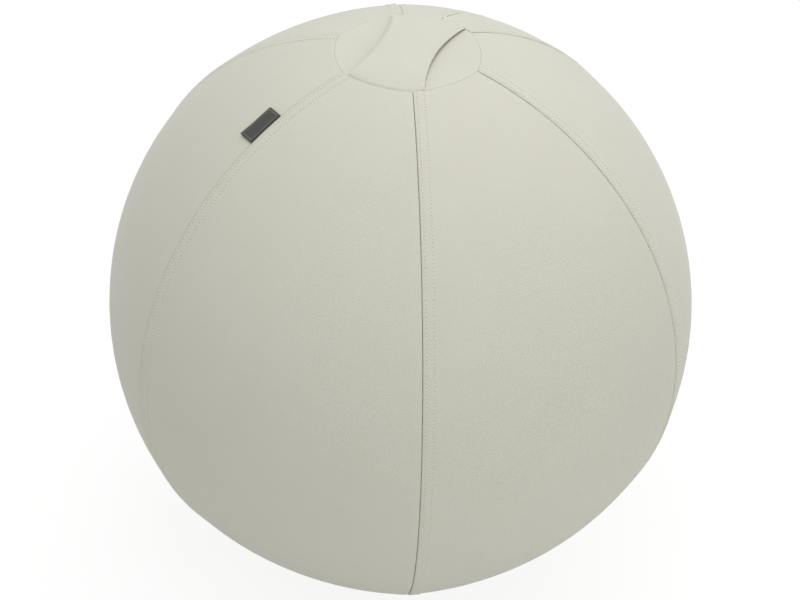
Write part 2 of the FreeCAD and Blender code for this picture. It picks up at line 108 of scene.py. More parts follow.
class CoverSettings(bpy.types.PropertyGroup):
    cloth_colour: FloatVectorProperty(
        name="Cloth colour", description="Colour of the twill's ribs", subtype="COLOR", size=3,
        default=(0.668, 0.662, 0.572), min=0, max=1,
    )
    thread_colour: FloatVectorProperty(
        name="Thread colour", description="Colour of the topstitching", subtype="COLOR", size=3,
        default=(0.96, 0.95, 0.85), min=0, max=1,
    )
    cloth_thickness: FloatProperty(
        name="Cloth thickness", description="Thickness of the cover cloth", unit="LENGTH", default=0.7 * MM
    )
    lap_width: FloatProperty(
        name="Lap width", description="Band of doubled cloth beside each seam", unit="LENGTH", default=13 * MM
    )
    lap_rise: FloatProperty(
        name="Lap rise", description="How far the band stands above the panel",
        unit="LENGTH", default=0.6 * MM,
    )
    first_row: FloatProperty(
        name="First stitch row", description="Distance from the seam", unit="LENGTH", default=3.6 * MM
    )
    second_row: FloatProperty(
        name="Second stitch row", description="Distance from the seam", unit="LENGTH", default=11.6 * MM
    )
    stitch_pitch: FloatProperty(
        name="Stitch pitch", description="Length of a stitch with its gap", unit="LENGTH", default=3.9 * MM
    )
    stitch_sink: FloatProperty(
        name="Stitch sink", description="How far a row of stitches draws the cloth in",
        unit="LENGTH", default=0.16 * MM,
    )
    tuck_sink: FloatProperty(
        name="Tuck sink", description="How far the cloth dips under the next panel's lap",
        unit="LENGTH", default=0.5 * MM,
    )
    rim_sink: FloatProperty(
        name="Rim sink", description="How far the cloth dips into the crown's seam",
        unit="LENGTH", default=0.3 * MM,
    )
    ripple: FloatProperty(
        name="Seam ripple", description="Height of the uneven puckers along a seam",
        unit="LENGTH", default=0.28 * MM,
    )
    slack: FloatProperty(
        name="Slack", description="Height of the broad unevenness of a panel", unit="LENGTH", default=0.5 * MM
    )


class StrapSettings(bpy.types.PropertyGroup):
    thickness: FloatProperty(
        name="Strap thickness", description="Thickness of the doubled strap", unit="LENGTH", default=2.2 * MM
    )
    camber: FloatProperty(
        name="Strap camber", description="How far its edges hang below its middle",
        unit="LENGTH", default=3.4 * MM,
    )
    edge_cord: FloatProperty(
        name="Edge fullness", description="How far the turned edges stand out",
        unit="LENGTH", default=0.8 * MM,
    )


class TagSettings(bpy.types.PropertyGroup):
    ribbon_colour: FloatVectorProperty(
        name="Ribbon colour", description="Ground of the woven ribbon", subtype="COLOR", size=3,
        default=(0.048, 0.050, 0.042), min=0, max=1,
    )
    border_colour: FloatVectorProperty(
        name="Border colour", description="Line woven inside the ribbon's edges", subtype="COLOR", size=3,
        default=(0.125, 0.13, 0.115), min=0, max=1,
    )
    ribbon_thickness: FloatProperty(
        name="Ribbon thickness", description="Thickness of one leaf", unit="LENGTH", default=0.35 * MM
    )
    corner_lift: FloatProperty(
        name="Corner lift", description="How far the lower free corner curls up",
        unit="LENGTH", default=1.2 * MM,
    )


class ZipSettings(bpy.types.PropertyGroup):
    metal_colour: FloatVectorProperty(
        name="Metal colour", description="Paint of the slider and its pull", subtype="COLOR", size=3,
        default=(0.58, 0.585, 0.5), min=0, max=1,
    )
    tape_colour: FloatVectorProperty(
        name="Tape colour", description="Colour of the zip's tape and coils", subtype="COLOR", size=3,
        default=(0.6, 0.605, 0.52), min=0, max=1,
    )
    pull_edge: FloatProperty(
        name="Pull edge", description="Rounding of the pull's edges", unit="LENGTH", default=0.22 * MM
    )


class StageSettings(bpy.types.PropertyGroup):
    azimuth: FloatProperty(
        name="Azimuth", description="Turn of the camera from the front to the right", subtype="ANGLE",
        default=math.radians(25.375),
    )
    elevation: FloatProperty(
        name="Elevation", description="Height of the camera above the horizon", subtype="ANGLE",
        default=math.radians(36.324),
    )
    roll: FloatProperty(
        name="Roll", description="Turn of the camera about its own line of sight", subtype="ANGLE",
        default=math.radians(1.722),
    )
    distance: FloatProperty(
        name="Distance", description="From the ball's middle to the camera", unit="LENGTH", default=2.466
    )
    lens: FloatProperty(name="Lens", description="Focal length in millimetres", default=99.945)
    ambient: FloatProperty(name="Ambient", description="Light that comes evenly from all round", default=0.62)
    side: FloatProperty(
        name="Side", description="Power of the lamp on the right", subtype="POWER", default=9.6
    )
    top: FloatProperty(name="Top", description="Power of the lamp overhead", subtype="POWER", default=19.1)
    rear: FloatProperty(
        name="Rear", description="Power of the lamp behind the ball", subtype="POWER", default=11.5
    )


SETTINGS = {
    "ball_cover": CoverSettings,
    "ball_strap": StrapSettings,
    "ball_tag": TagSettings,
    "ball_zip": ZipSettings,
    "ball_stage": StageSettings,
}


# Small helpers


def smooth(value):
    value = min(max(value, 0.0), 1.0)
    return value * value * (3 - 2 * value)


def bell(distance, width):
    return math.exp(-((distance / width) ** 2))


def fade(distance, reach):
    return math.exp(-max(distance, 0.0) / reach)


def compass(turn):
    """The level direction at a turn from the right towards the back."""
    return Vector((math.cos(turn), math.sin(turn), 0))


def deselect_all():
    if bpy.context.object and bpy.context.object.mode != "OBJECT":
        bpy.ops.object.mode_set(mode="OBJECT")
    bpy.ops.object.select_all(action="DESELECT")


def only(piece):
    """Makes a piece the one selected and active object."""
    deselect_all()
    piece.select_set(True)
    bpy.context.view_layer.objects.active = piece


def add_map(mesh, name, places):
    """A UV map from one place for each point."""
    flat = mesh.uv_layers.new(name=name)
    for loop in mesh.loops:
        flat.data[loop.index].uv = places[loop.vertex_index]


def soft_piece(name, points, faces, places, material):
    """A smooth mesh piece. Its map, named cloth, holds each point's place on the flat cloth in metres."""
    mesh = bpy.data.meshes.new(name)
    mesh.from_pydata(points, [], faces)
    add_map(mesh, "cloth", places)
    mesh.shade_smooth()
    mesh.materials.append(material)
    piece = bpy.data.objects.new(name, mesh)
    bpy.context.scene.collection.objects.link(piece)
    return piece


def grid_faces(rows, columns, wrap=False):
    """Faces of a grid whose rows run down and whose columns run to the right, seen from outside."""
    faces = []
    for row in range(rows - 1):
        for column in range(columns if wrap else columns - 1):
            right = (column + 1) % columns
            below = (row + 1) * columns
            faces.append((row * columns + column, below + column, below + right, row * columns + right))
    return faces


def tube_faces(rings, sides):
    """Faces of a tube with both ends closed."""
    last = range((rings - 1) * sides, rings * sides)
    return grid_faces(rings, sides, wrap=True) + [tuple(range(sides)), tuple(reversed(last))]


def fan(first, sides, tip):
    """Triangles from a ring of points to one tip."""
    return [(first + side, first + (side + 1) % sides, tip) for side in range(sides)]


def flipped(faces):
    return [tuple(reversed(face)) for face in faces]


def shifted(faces, first):
    return [tuple(first + index for index in face) for face in faces]


def thicken(piece, thickness):
    """Gives a cloth surface its thickness on the inside."""
    only(piece)
    wall = piece.modifiers.new("cloth", "SOLIDIFY")
    wall.thickness = thickness
    wall.offset = -1
    bpy.ops.object.modifier_apply(modifier=wall.name)


def round_edges(piece, width, segments, sharper_than):
    """Rounds the edges of a piece that are sharper than an angle."""
    only(piece)
    edge = piece.modifiers.new("rounded edges", "BEVEL")
    edge.width = width
    edge.segments = segments
    edge.limit_method = "ANGLE"
    edge.angle_limit = sharper_than
    bpy.ops.object.modifier_apply(modifier=edge.name)


def on_ball(piece, slot, *nodes):
    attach(piece, "ball")
    if nodes:
        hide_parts(*nodes)


# Materials

WAVE_LENGTH = math.pi / 10  # of Blender's band pattern at a scale of 1
TWILL_PERIOD = 1.7 * MM
TWILL_TURN = math.radians(-42)  # the ribs fall to the right at about half a right angle
YARN_PERIOD = 0.62 * MM
RIB_SHARE = 0.72  # of the twill's height, beside its yarns
WEAVE_SHARE = 0.82  # of the twill's shading, beside its fibres
# painted shade: how much the cloth is darkened in the needle holes of a row of stitches
PAINTED_HOLE_SHADE = 0.2
ROW_NEARNESS = (0.6, 0.85)  # to a row of stitches, where the painted shade of its needle holes begins and where it is full
HOLE_EDGE = (0.08, 0.2)  # of a needle hole, in stitches from its middle
PLY_TURN = math.radians(35)
HERRINGBONE_TURN = math.radians(40)
BORDER_INSET = 2.3 * MM
BORDER_HALF_WIDTH = (0.35 * MM, 0.75 * MM)  # of the full line and of its faded edge
# from dark to light base cloth: the weave's hollows take the dark end as painted shade, and worn patches vary
# it at random
BASE_CLOTH_COLOURS = ((0.05, 0.052, 0.048), (0.10, 0.102, 0.096))
RUBBER_COLOURS = ((0.045, 0.045, 0.043), (0.11, 0.108, 0.10))
SAND_COLOURS = ((0.30, 0.22, 0.13), (0.62, 0.52, 0.36))
BALL_SKIN_COLOUR = (0.2, 0.2, 0.2)
VALVE_COLOUR = (0.74, 0.74, 0.73)
SAND_GRAIN = 0.8 * MM


def add_node(tree, kind, inputs=None, **settings):
    """A shader node. An input given as a socket is linked, and any other is set."""
    made = tree.nodes.new(kind)
    for key, value in settings.items():
        setattr(made, key, value)
    for key, value in (inputs or {}).items():
        if isinstance(value, bpy.types.NodeSocket):
            tree.links.new(value, made.inputs[key])
        else:
            made.inputs[key].default_value = value
    return made


def new_material(name, **shine):
    """A material with its node tree and its shader, whose even values are set on its sockets."""
    material = bpy.data.materials.new(name)
    material.use_nodes = True
    tree = material.node_tree
    shader = tree.nodes["Principled BSDF"]
    for key, value in shine.items():
        shader.inputs[key.replace("_", " ")].default_value = value
    return material, tree, shader


def dress(tree, shader, colour, roughness, height, depth, strength=1.0):
    """Gives a shader its colour, its roughness and an embossed height."""
    bump = add_node(tree, "ShaderNodeBump", {"Height": height, "Distance": depth, "Strength": strength})
    links = {"Base Color": colour, "Roughness": roughness, "Normal": bump.outputs["Normal"]}
    for socket, value in links.items():
        tree.links.new(value, shader.inputs[socket])


def calculate(tree, operation, first, second=0.0):
    return add_node(tree, "ShaderNodeMath", {0: first, 1: second}, operation=operation).outputs[0]


def weighed(tree, first, second, share):
    """A share of the first value and the rest of the second."""
    parts = [calculate(tree, "MULTIPLY", first, share), calculate(tree, "MULTIPLY", second, 1 - share)]
    return calculate(tree, "ADD", *parts)


def map_place(tree, name):
    return add_node(tree, "ShaderNodeUVMap", uv_map=name).outputs["UV"]


def on_cloth(tree, turn=0.0):
    """Places on a piece's flat cloth, turned."""
    inputs = {"Vector": map_place(tree, "cloth"), "Rotation": (0, 0, turn)}
    return add_node(tree, "ShaderNodeMapping", inputs).outputs["Vector"]


def in_space(tree):
    """Places in a piece's own space."""
    return add_node(tree, "ShaderNodeTexCoord").outputs["Object"]


def bands(tree, where, period, distortion=0.0, detail_scale=1.0):
    """Soft bands across X with a period in metres, from 0 to 1."""
    inputs = {
        "Vector": where, "Scale": WAVE_LENGTH / period, "Distortion": distortion,
        "Detail": 1.0, "Detail Scale": detail_scale,
    }
    return add_node(tree, "ShaderNodeTexWave", inputs, bands_direction="X").outputs["Fac"]


def cloudy(tree, where, size, detail=2.0):
    inputs = {"Vector": where, "Scale": 1 / size, "Detail": detail, "Roughness": 0.55}
    return add_node(tree, "ShaderNodeTexNoise", inputs).outputs["Fac"]


def mixed_colour(tree, factor, first, second):
    inputs = {"Factor": factor, "A": first, "B": second}
    return add_node(tree, "ShaderNodeMix", inputs, data_type="RGBA").outputs["Result"]


def between(tree, factor, first, second):
    """A colour from first at 0 to second at 1."""
    return mixed_colour(tree, factor, (*first, 1), (*second, 1))


def in_range(tree, value, low, high):
    inputs = {"Value": value, "To Min": low, "To Max": high}
    return add_node(tree, "ShaderNodeMapRange", inputs).outputs["Result"]


def steps(tree, value, low, high):
    """0 below low, 1 above high and smooth between."""
    inputs = {"Value": value, "From Min": low, "From Max": high}
    return add_node(tree, "ShaderNodeMapRange", inputs, interpolation_type="SMOOTHSTEP").outputs["Result"]


def shaded(colour, share):
    return tuple(channel * share for channel in colour)


def painted_hole_shade_mask(tree):
    """Where painted shade darkens the cloth: 1 in the holes between the stitches of a row, from the map named
    sewing, and 0 elsewhere.
    """
    parts = add_node(tree, "ShaderNodeSeparateXYZ", {"Vector": map_place(tree, "sewing")}).outputs
    on_row = steps(tree, parts["X"], *ROW_NEARNESS)
    from_hole = calculate(tree, "PINGPONG", parts["Y"], 0.5)
    in_hole = calculate(tree, "SUBTRACT", 1.0, steps(tree, from_hole, *HOLE_EDGE))
    return calculate(tree, "MULTIPLY", on_row, in_hole)


def twill_material(name, colour):
    """Matte polyester twill: fine slanting ribs, broken by the yarns that cross them. Its colour is darker in
    the hollows of the weave and lighter on its raised ribs, which is painted shade, mixed with the fibres'
    own tone.
    """
    material, tree, shader = new_material(
        name, Sheen_Weight=0.26, Sheen_Roughness=0.45, Specular_IOR_Level=0.25
    )
    flat = on_cloth(tree)
    ribs = bands(tree, on_cloth(tree, TWILL_TURN), TWILL_PERIOD, distortion=0.9, detail_scale=2.5)
    yarns = bands(tree, flat, YARN_PERIOD, distortion=0.6, detail_scale=2.0)
    fibres = cloudy(tree, flat, size=0.8 * MM, detail=3.0)
    tone = cloudy(tree, flat, size=60 * MM)
    height = weighed(tree, ribs, yarns, RIB_SHARE)
    # painted shade: the weave's height, darker in its hollows, mixed with the fibres' tone, sets the colour
    # below
    light = weighed(tree, height, fibres, WEAVE_SHARE)
    woven = between(tree, light, shaded(colour, 0.86), shaded(colour, 1.1))
    # painted shade darkens the cloth in the needle holes beside the stitches
    holes = calculate(tree, "MULTIPLY", painted_hole_shade_mask(tree), PAINTED_HOLE_SHADE)
    value = calculate(tree, "SUBTRACT", in_range(tree, tone, 0.98, 1.02), holes)
    inputs = {"Color": woven, "Value": value, "Saturation": in_range(tree, tone, 1.04, 0.96)}
    toned = add_node(tree, "ShaderNodeHueSaturation", inputs).outputs["Color"]
    dress(tree, shader, toned, in_range(tree, fibres, 0.78, 0.94), height, depth=0.14 * MM, strength=0.6)
    return material


def thread_material(name, colour):
    """Sewing thread: two plies laid round each other, with painted shade darkening the grooves between them.
    """
    material, tree, shader = new_material(name, Sheen_Weight=0.25, Specular_IOR_Level=0.35)
    plies = bands(tree, on_cloth(tree, PLY_TURN), period=0.42 * MM, distortion=0.3)
    # painted shade: darker in the grooves between the plies
    tint = between(tree, plies, shaded(colour, 0.82), colour)
    dress(tree, shader, tint, in_range(tree, plies, 0.72, 0.55), plies, depth=0.08 * MM)
    return material


def grip_cloth_material(name):
    """Closely woven base cloth, darker in the hollows of its weave, which is painted shade, and patchy with
    wear.
    """
    material, tree, shader = new_material(name, Specular_IOR_Level=0.3, Sheen_Weight=0.1)
    warp = bands(tree, on_cloth(tree), period=1.2 * MM, distortion=0.5)
    weft = bands(tree, on_cloth(tree, RIGHT_ANGLE), period=1.2 * MM, distortion=0.5)
    weave = calculate(tree, "MULTIPLY", warp, weft)
    worn = cloudy(tree, on_cloth(tree), size=25 * MM, detail=4.0)
    # painted shade in the weave's hollows, seven tenths of the mix, and random wear set the colour
    tint = between(tree, weighed(tree, weave, worn, 0.7), *BASE_CLOTH_COLOURS)
    dress(tree, shader, tint, in_range(tree, worn, 0.75, 0.95), weave, depth=0.2 * MM)
    return material


def cover_twill():
    colour = bpy.context.scene.ball_cover.cloth_colour
    return bpy.data.materials.get("cover twill") or twill_material("cover twill", colour)


def cover_thread():
    colour = bpy.context.scene.ball_cover.thread_colour
    return bpy.data.materials.get("cover thread") or thread_material("cover thread", colour)


def grip_cloth():
    return bpy.data.materials.get("base cloth") or grip_cloth_material("base cloth")


def rubber_material():
    """Grip dots of soft rubber, dusty where they have stood."""
    material, tree, shader = new_material("grip rubber", Specular_IOR_Level=0.4)
    dust = cloudy(tree, in_space(tree), size=6 * MM, detail=5.0)
    grain = cloudy(tree, in_space(tree), size=0.5 * MM)
    tint = between(tree, dust, *RUBBER_COLOURS)
    dress(tree, shader, tint, in_range(tree, dust, 0.45, 0.8), grain, depth=0.05 * MM)
    return material


def from_both_ends(tree, at, length):
    """Distance from the nearer end of a length."""
    off_middle = calculate(tree, "ABSOLUTE", calculate(tree, "SUBTRACT", at, length / 2))
    return calculate(tree, "SUBTRACT", length / 2, off_middle)


def ribbon_material(tag):
    """Woven ribbon with a paler line inside its edges, its ground darker in the hollows of the weave and
    lighter on its raised yarns, which is painted shade. Its flat map runs along and across one leaf.
    """
    material, tree, shader = new_material("tag ribbon", Specular_IOR_Level=0.35, Sheen_Weight=0.15)
    parts = add_node(tree, "ShaderNodeSeparateXYZ", {"Vector": map_place(tree, "cloth")}).outputs
    from_ends = from_both_ends(tree, parts["X"], TAG_LENGTH)
    from_sides = from_both_ends(tree, parts["Y"], TAG_WIDTH)
    from_edge = calculate(tree, "MINIMUM", from_ends, from_sides)
    off_line = calculate(tree, "ABSOLUTE", calculate(tree, "SUBTRACT", from_edge, BORDER_INSET))
    full, faded = BORDER_HALF_WIDTH
    inputs = {"Value": off_line, "From Min": full, "From Max": faded, "To Min": 1.0, "To Max": 0.0}
    border = add_node(tree, "ShaderNodeMapRange", inputs).outputs["Result"]
    picks = bands(tree, on_cloth(tree, RIGHT_ANGLE), period=0.5 * MM, distortion=0.4)
    ends = bands(tree, on_cloth(tree), period=0.36 * MM, distortion=0.4)
    weave = weighed(tree, picks, ends, 0.65)
    # painted shade: the ground is darker in the weave's hollows
    ground = between(tree, weave, shaded(tag.ribbon_colour, 0.7), shaded(tag.ribbon_colour, 1.3))
    lined = mixed_colour(tree, border, ground, (*tag.border_colour, 1))
    dress(tree, shader, lined, in_range(tree, weave, 0.8, 0.6), weave, depth=0.1 * MM)
    return material


def metal_material(name, colour):
    """Painted die-cast zip metal with a fine grain and rubbed patches."""
    material, tree, shader = new_material(name, Specular_IOR_Level=0.5, Coat_Weight=0.15)
    grain = cloudy(tree, in_space(tree), size=0.35 * MM, detail=3.0)
    rubbed = cloudy(tree, in_space(tree), size=5 * MM, detail=4.0)
    tint = between(tree, rubbed, shaded(colour, 0.85), shaded(colour, 1.08))
    dress(tree, shader, tint, in_range(tree, rubbed, 0.5, 0.3), grain, depth=0.02 * MM)
    return material


def tape_material(colour):
    """Herringbone zip tape, darker in the hollows of its weave, which is painted shade, and flecked by its
    fibres.
    """
    material, tree, shader = new_material("zip tape", Specular_IOR_Level=0.3, Sheen_Weight=0.1)
    weave = bands(tree, on_cloth(tree, HERRINGBONE_TURN), period=1.1 * MM, distortion=0.6)
    fibres = cloudy(tree, on_cloth(tree), size=0.6 * MM)
    # painted shade in the weave's hollows, mixed with the fibres' tone
    tint = between(tree, weighed(tree, weave, fibres, 0.6), shaded(colour, 0.75), shaded(colour, 1.05))
    dress(tree, shader, tint, in_range(tree, fibres, 0.75, 0.9), weave, depth=0.12 * MM)
    return material


def moulded_material(name, colour, grain_size, roughness):
    """Moulded plastic or rubber with an even fine grain and a cloudy tint."""
    material, tree, shader = new_material(name, Specular_IOR_Level=0.45)
    grain = cloudy(tree, in_space(tree), grain_size, detail=3.0)
    clouds = cloudy(tree, in_space(tree), 40 * grain_size)
    tint = between(tree, clouds, shaded(colour, 0.9), shaded(colour, 1.08))
    shine = in_range(tree, grain, roughness - 0.08, roughness + 0.08)
    dress(tree, shader, tint, shine, grain, depth=0.04 * MM)
    return material


def sand_material():
    """Dry sand: pale and dark grains."""
    material, tree, shader = new_material("sand", Specular_IOR_Level=0.3)
    inputs = {"Vector": in_space(tree), "Scale": 1 / SAND_GRAIN}
    grains = add_node(tree, "ShaderNodeTexVoronoi", inputs, feature="F1").outputs
    tone = add_node(tree, "ShaderNodeSeparateColor", {"Color": grains["Color"]}).outputs["Red"]
    tint = between(tree, tone, *SAND_COLOURS)
    shine = in_range(tree, tone, 0.8, 0.95)
    dress(tree, shader, tint, shine, grains["Distance"], depth=0.3 * MM, strength=0.8)
    return material


def wear(node, material):
    """Gives a node of the frame a material of its own."""
    mesh = frame["nodes"][node].data
    mesh.materials.clear()
    mesh.materials.append(material)


# Cover panels

# Turned edges of the cloth
SEAM_GAP = 0.2 * MM  # from the seam line to the cloth on either side
RIM_GAP = 0.08 * MM
ZIP_GAP = 0.5 * MM
SEAM_FOLD = 1.4 * MM
RIM_FOLD = 0.7 * MM
ZIP_FOLD = 0.8 * MM
FOLD_STEPS = 4
SEAM_TURN_IN = 2.6 * MM
RIM_TURN_IN = 1.5 * MM
ZIP_EDGE_REACH = 2 * MM  # how much of an edge moves where the zip's edges meet
ZIP_CLOSES_ABOVE = 1.5 * MM
ZIP_CLOSES_BELOW = 6 * MM
RIM_TIGHTNESS = 0.75  # the seams close up towards the crown and the base
RIM_TIGHT_REACH = 24 * MM

# Places across a panel, in millimetres from its seam, and between its two edges
EDGE_DISTANCES = (2.0, 2.6, 3.1, 3.6, 4.1, 5.0, 6.5, 8.4, 10.2, 11.0, 11.6, 12.2, 13.0, 14.2, 16.0, 18.5)
PLAIN_EDGE_DISTANCES = (1.8, 3.0, 4.6, 6.5, 9.0, 13.0, 18.5)
MIDDLE_COLUMNS = 16
AREA_STRIPS = 60

# Relief of the cloth beside its seams
LAP_FADE = 6 * MM
LAP_PUFF = 0.12 * MM
LAP_PUFF_SPREAD = 3 * MM
SEW_SPREAD = 0.9 * MM
HOLE_SHARE = 0.3  # of a row's depth that only its needle holes have
HOLE_REACH = 2 * MM
TUCK_FADE = 2.4 * MM
TUCK_PUFF = 0.2 * MM
TUCK_PUFF_AT = 7 * MM
TUCK_PUFF_SPREAD = 4 * MM
ZIP_ROW = 6.5 * MM
ZIP_ROW_END = 4 * MM
ZIP_PUFF = 0.12 * MM
ZIP_PUFF_AT = 3 * MM
ZIP_PUFF_SPREAD = 2 * MM
RIPPLE_LENGTH = 13 * MM
RIPPLE_REACH = 15 * MM
SLACK_LENGTH = 130 * MM
SLACK_EASE = 60 * MM
RIM_RIPPLE_LENGTH = 9 * MM
RIM_RIPPLE_RUN = 30 * MM
RIM_SINK_REACH = 3 * MM
SHELTER_MARGIN = 2 * MM  # round the tag, under which the cloth lies flat
SHELTER_EASE = 8 * MM
SHELTERED_RELIEF = 0.3  # share of the seam's relief that is left there


class PanelCut:
    """One cover panel: an upright strip of the ball between two seams, flatter than the ball or as round."""

    def __init__(self, middle, half, start_edge, end_edge, axis):
        self.middle = math.radians(middle)
        self.half = math.radians(half)
        self.edges = {0.0: start_edge, 1.0: end_edge}
        self.axis = axis
        self.turn = Matrix.Rotation(self.middle, 3, "Z")

    @property
    def start_edge(self):
        return self.edges[0.0]

    @property
    def end_edge(self):
        return self.edges[1.0]

    def arc(self, polar):
        """Radius and half angle of the panel's section at a polar angle, about its own upright axis."""
        seam = SEAM_RADIUS * math.sin(polar)
        radius = math.sqrt(seam**2 + 2 * self.axis * seam * math.cos(self.half) + self.axis**2)
        return radius, math.asin(seam * math.sin(self.half) / radius)

    def width(self, polar):
        radius, half = self.arc(polar)
        return 2 * half * radius

    def place(self, polar, from_start):
        """Point on the panel and the direction out of it, at a distance across from its start seam."""
        radius, half = self.arc(polar)
        seam = SEAM_RADIUS * math.sin(polar)
        height = SEAM_RADIUS * math.cos(polar)
        facing = compass(from_start / radius - half)
        slope = (seam + self.axis * math.cos(self.half)) / radius
        point = facing * radius - RIGHT * self.axis + UP * height
        out = (facing * math.sin(polar) + UP * (slope * math.cos(polar))).normalized()
        return BALL_CENTRE + self.turn @ point, self.turn @ out

    def rim_distance(self, direction):
        """Distance of the crown's rim from the upright axis, in a direction seen from above."""
        radius, _ = self.arc(RIM_POLAR)
        away = direction - self.middle
        return math.sqrt(radius**2 - (self.axis * math.sin(away)) ** 2) - self.axis * math.cos(away)


PANELS = {
    "front_panel": PanelCut(-90, 30, "lap", "tuck", FLAT_PANEL_AXIS),
    "front_right_panel": PanelCut(-30, 30, "lap", "tuck", FLAT_PANEL_AXIS),
    "back_right_panel": PanelCut(30, 30, "lap", "tuck", FLAT_PANEL_AXIS),
    "zip_panel_right": PanelCut(75, 15, "lap", "zip", 0.0),
    "zip_panel_left": PanelCut(105, 15, "zip", "tuck", 0.0),
    "back_left_panel": PanelCut(150, 30, "lap", "tuck", FLAT_PANEL_AXIS),
    "front_left_panel": PanelCut(-150, 30, "lap", "tuck", FLAT_PANEL_AXIS),
}


def rim_distance(direction):
    """Distance of the crown's rim from the upright axis, whichever panel it meets there."""
    for cut in PANELS.values():
        away = math.remainder(direction - cut.middle, 2 * math.pi)
        if abs(away) <= cut.half + 1e-9:
            return cut.rim_distance(cut.middle + away)
    raise ValueError("no panel lies in that direction")


def from_nearer_rim(along):
    """Distance from the crown's or the base's rim, whichever is nearer."""
    return min(along, SEAM_LENGTH - along)


def stitch_count(cover):
    return round(SEAM_LENGTH / cover.stitch_pitch)


def even_pitch(cover):
    """The stitch pitch that divides a seam evenly."""
    return SEAM_LENGTH / stitch_count(cover)


def sewn_depth(cover, along):
    """How far a row of stitches draws the cloth in: most at the needle holes."""
    holes = math.cos(2 * math.pi * along / even_pitch(cover))
    return cover.stitch_sink * (1 - HOLE_SHARE + HOLE_SHARE * holes)


def lap_relief(cover, from_seam, along):
    raised = cover.lap_rise * (1 - smooth((from_seam - cover.lap_width + LAP_FADE / 2) / LAP_FADE))
    rows = bell(from_seam - cover.first_row, SEW_SPREAD) + bell(from_seam - cover.second_row, SEW_SPREAD)
    middle = (cover.first_row + cover.second_row) / 2
    puff = LAP_PUFF * bell(from_seam - middle, LAP_PUFF_SPREAD)
    return raised + puff - sewn_depth(cover, along) * rows


def tuck_relief(cover, from_seam, along):
    puff = TUCK_PUFF * bell(from_seam - TUCK_PUFF_AT, TUCK_PUFF_SPREAD)
    return puff - cover.tuck_sink * fade(from_seam, TUCK_FADE)


def zip_relief(cover, from_seam, along):
    """Beside the zip, as far down as it is sewn in."""
    zipped = 1 - smooth((along - ZIP_END) / ZIP_ROW_END)
    row = sewn_depth(cover, along) * bell(from_seam - ZIP_ROW, SEW_SPREAD)
    return zipped * (ZIP_PUFF * bell(from_seam - ZIP_PUFF_AT, ZIP_PUFF_SPREAD) - row)


RELIEFS = {"lap": lap_relief, "tuck": tuck_relief, "zip": zip_relief}


def tag_shelter(cut, along, from_end):
    """0 under the side tag, where the cloth lies flat, and 1 well away from it."""
    if cut is not PANELS["front_left_panel"]:
        return 1.0
    from_middle = abs(along - SEAM_RADIUS * (TAG_POLAR - RIM_POLAR))
    beyond = max(from_middle - TAG_LENGTH / 2, from_end - TAG_WIDTH)
    return smooth((beyond - SHELTER_MARGIN) / SHELTER_EASE)


def sewing_place(cover, cut, along, from_start, width):
    """Nearness to a row of stitches, from 0 to 1 on the row, and the number of stitches to here."""
    rows = [cover.first_row, cover.second_row] if cut.start_edge == "lap" else []
    if along <= ZIP_END + ZIP_ROW:
        rows += [ZIP_ROW] if cut.start_edge == "zip" else []
        rows += [width - ZIP_ROW] if cut.end_edge == "zip" else []
    nearest = min((abs(from_start - row) for row in rows), default=HOLE_REACH)
    return max(0.0, 1 - nearest / HOLE_REACH), along / even_pitch(cover)


def panel_relief(cover, cut, along, from_start, width):
    """How far the sewn cloth stands above the panel's plain form."""
    from_end = width - from_start
    from_rim = from_nearer_rim(along)
    nearest = min(from_start, from_end)
    seed = cut.middle
    relief = RELIEFS[cut.start_edge](cover, from_start, along)
    relief += RELIEFS[cut.end_edge](cover, from_end, along)
    ripple = noise.noise(Vector((along / RIPPLE_LENGTH, 5 * seed, nearest / (3 * RIPPLE_LENGTH))))
    slack = noise.noise(Vector((along, from_start, seed)) / SLACK_LENGTH)
    across = noise.noise(Vector((from_start / RIM_RIPPLE_LENGTH, seed, along / RIM_RIPPLE_RUN)))
    uneven = cover.ripple * ripple * fade(nearest, RIPPLE_REACH)
    uneven += cover.slack * (0.5 + 0.5 * slack) * smooth(nearest / SLACK_EASE)
    uneven += cover.ripple * across * fade(from_rim, RIM_RIPPLE_LENGTH)
    shelter = tag_shelter(cut, along, from_end)
    relief *= SHELTERED_RELIEF + (1 - SHELTERED_RELIEF) * shelter
    return relief + uneven * shelter - cover.rim_sink * fade(from_rim, RIM_SINK_REACH)


def turned_edge(gap, fold, depth):
    """Places along a turned-in edge: distance from the seam line and depth below the cloth."""
    places = [(gap, depth)]
    for step in range(FOLD_STEPS + 1):
        turn = RIGHT_ANGLE * step / FOLD_STEPS
        places.append((gap + fold * (1 - math.cos(turn)), fold * (1 - math.sin(turn))))
    return places


def edge_columns(edge):
    """Places across one sewn edge of a panel, from the seam inwards: distance and depth."""
    if edge == "zip":
        turned = turned_edge(ZIP_GAP, ZIP_FOLD, RIM_TURN_IN)
    else:
        turned = turned_edge(SEAM_GAP, SEAM_FOLD, SEAM_TURN_IN)
    distances = PLAIN_EDGE_DISTANCES if edge == "tuck" else EDGE_DISTANCES
    return turned + [(distance * MM, 0.0) for distance in distances]


def panel_columns(cut):
    """Places across a panel: share of its width, distance added to that and depth of a turned edge."""
    start, end = edge_columns(cut.start_edge), edge_columns(cut.end_edge)
    columns = [(0.0, distance, depth) for distance, depth in start]
    between_edges = round(MIDDLE_COLUMNS * cut.half / HALF_PANEL)
    for step in range(1, between_edges):
        share = step / between_edges
        columns.append((share, (1 - share) * start[-1][0] - share * end[-1][0], 0.0))
    return columns + [(1.0, -distance, depth) for distance, depth in reversed(end)]


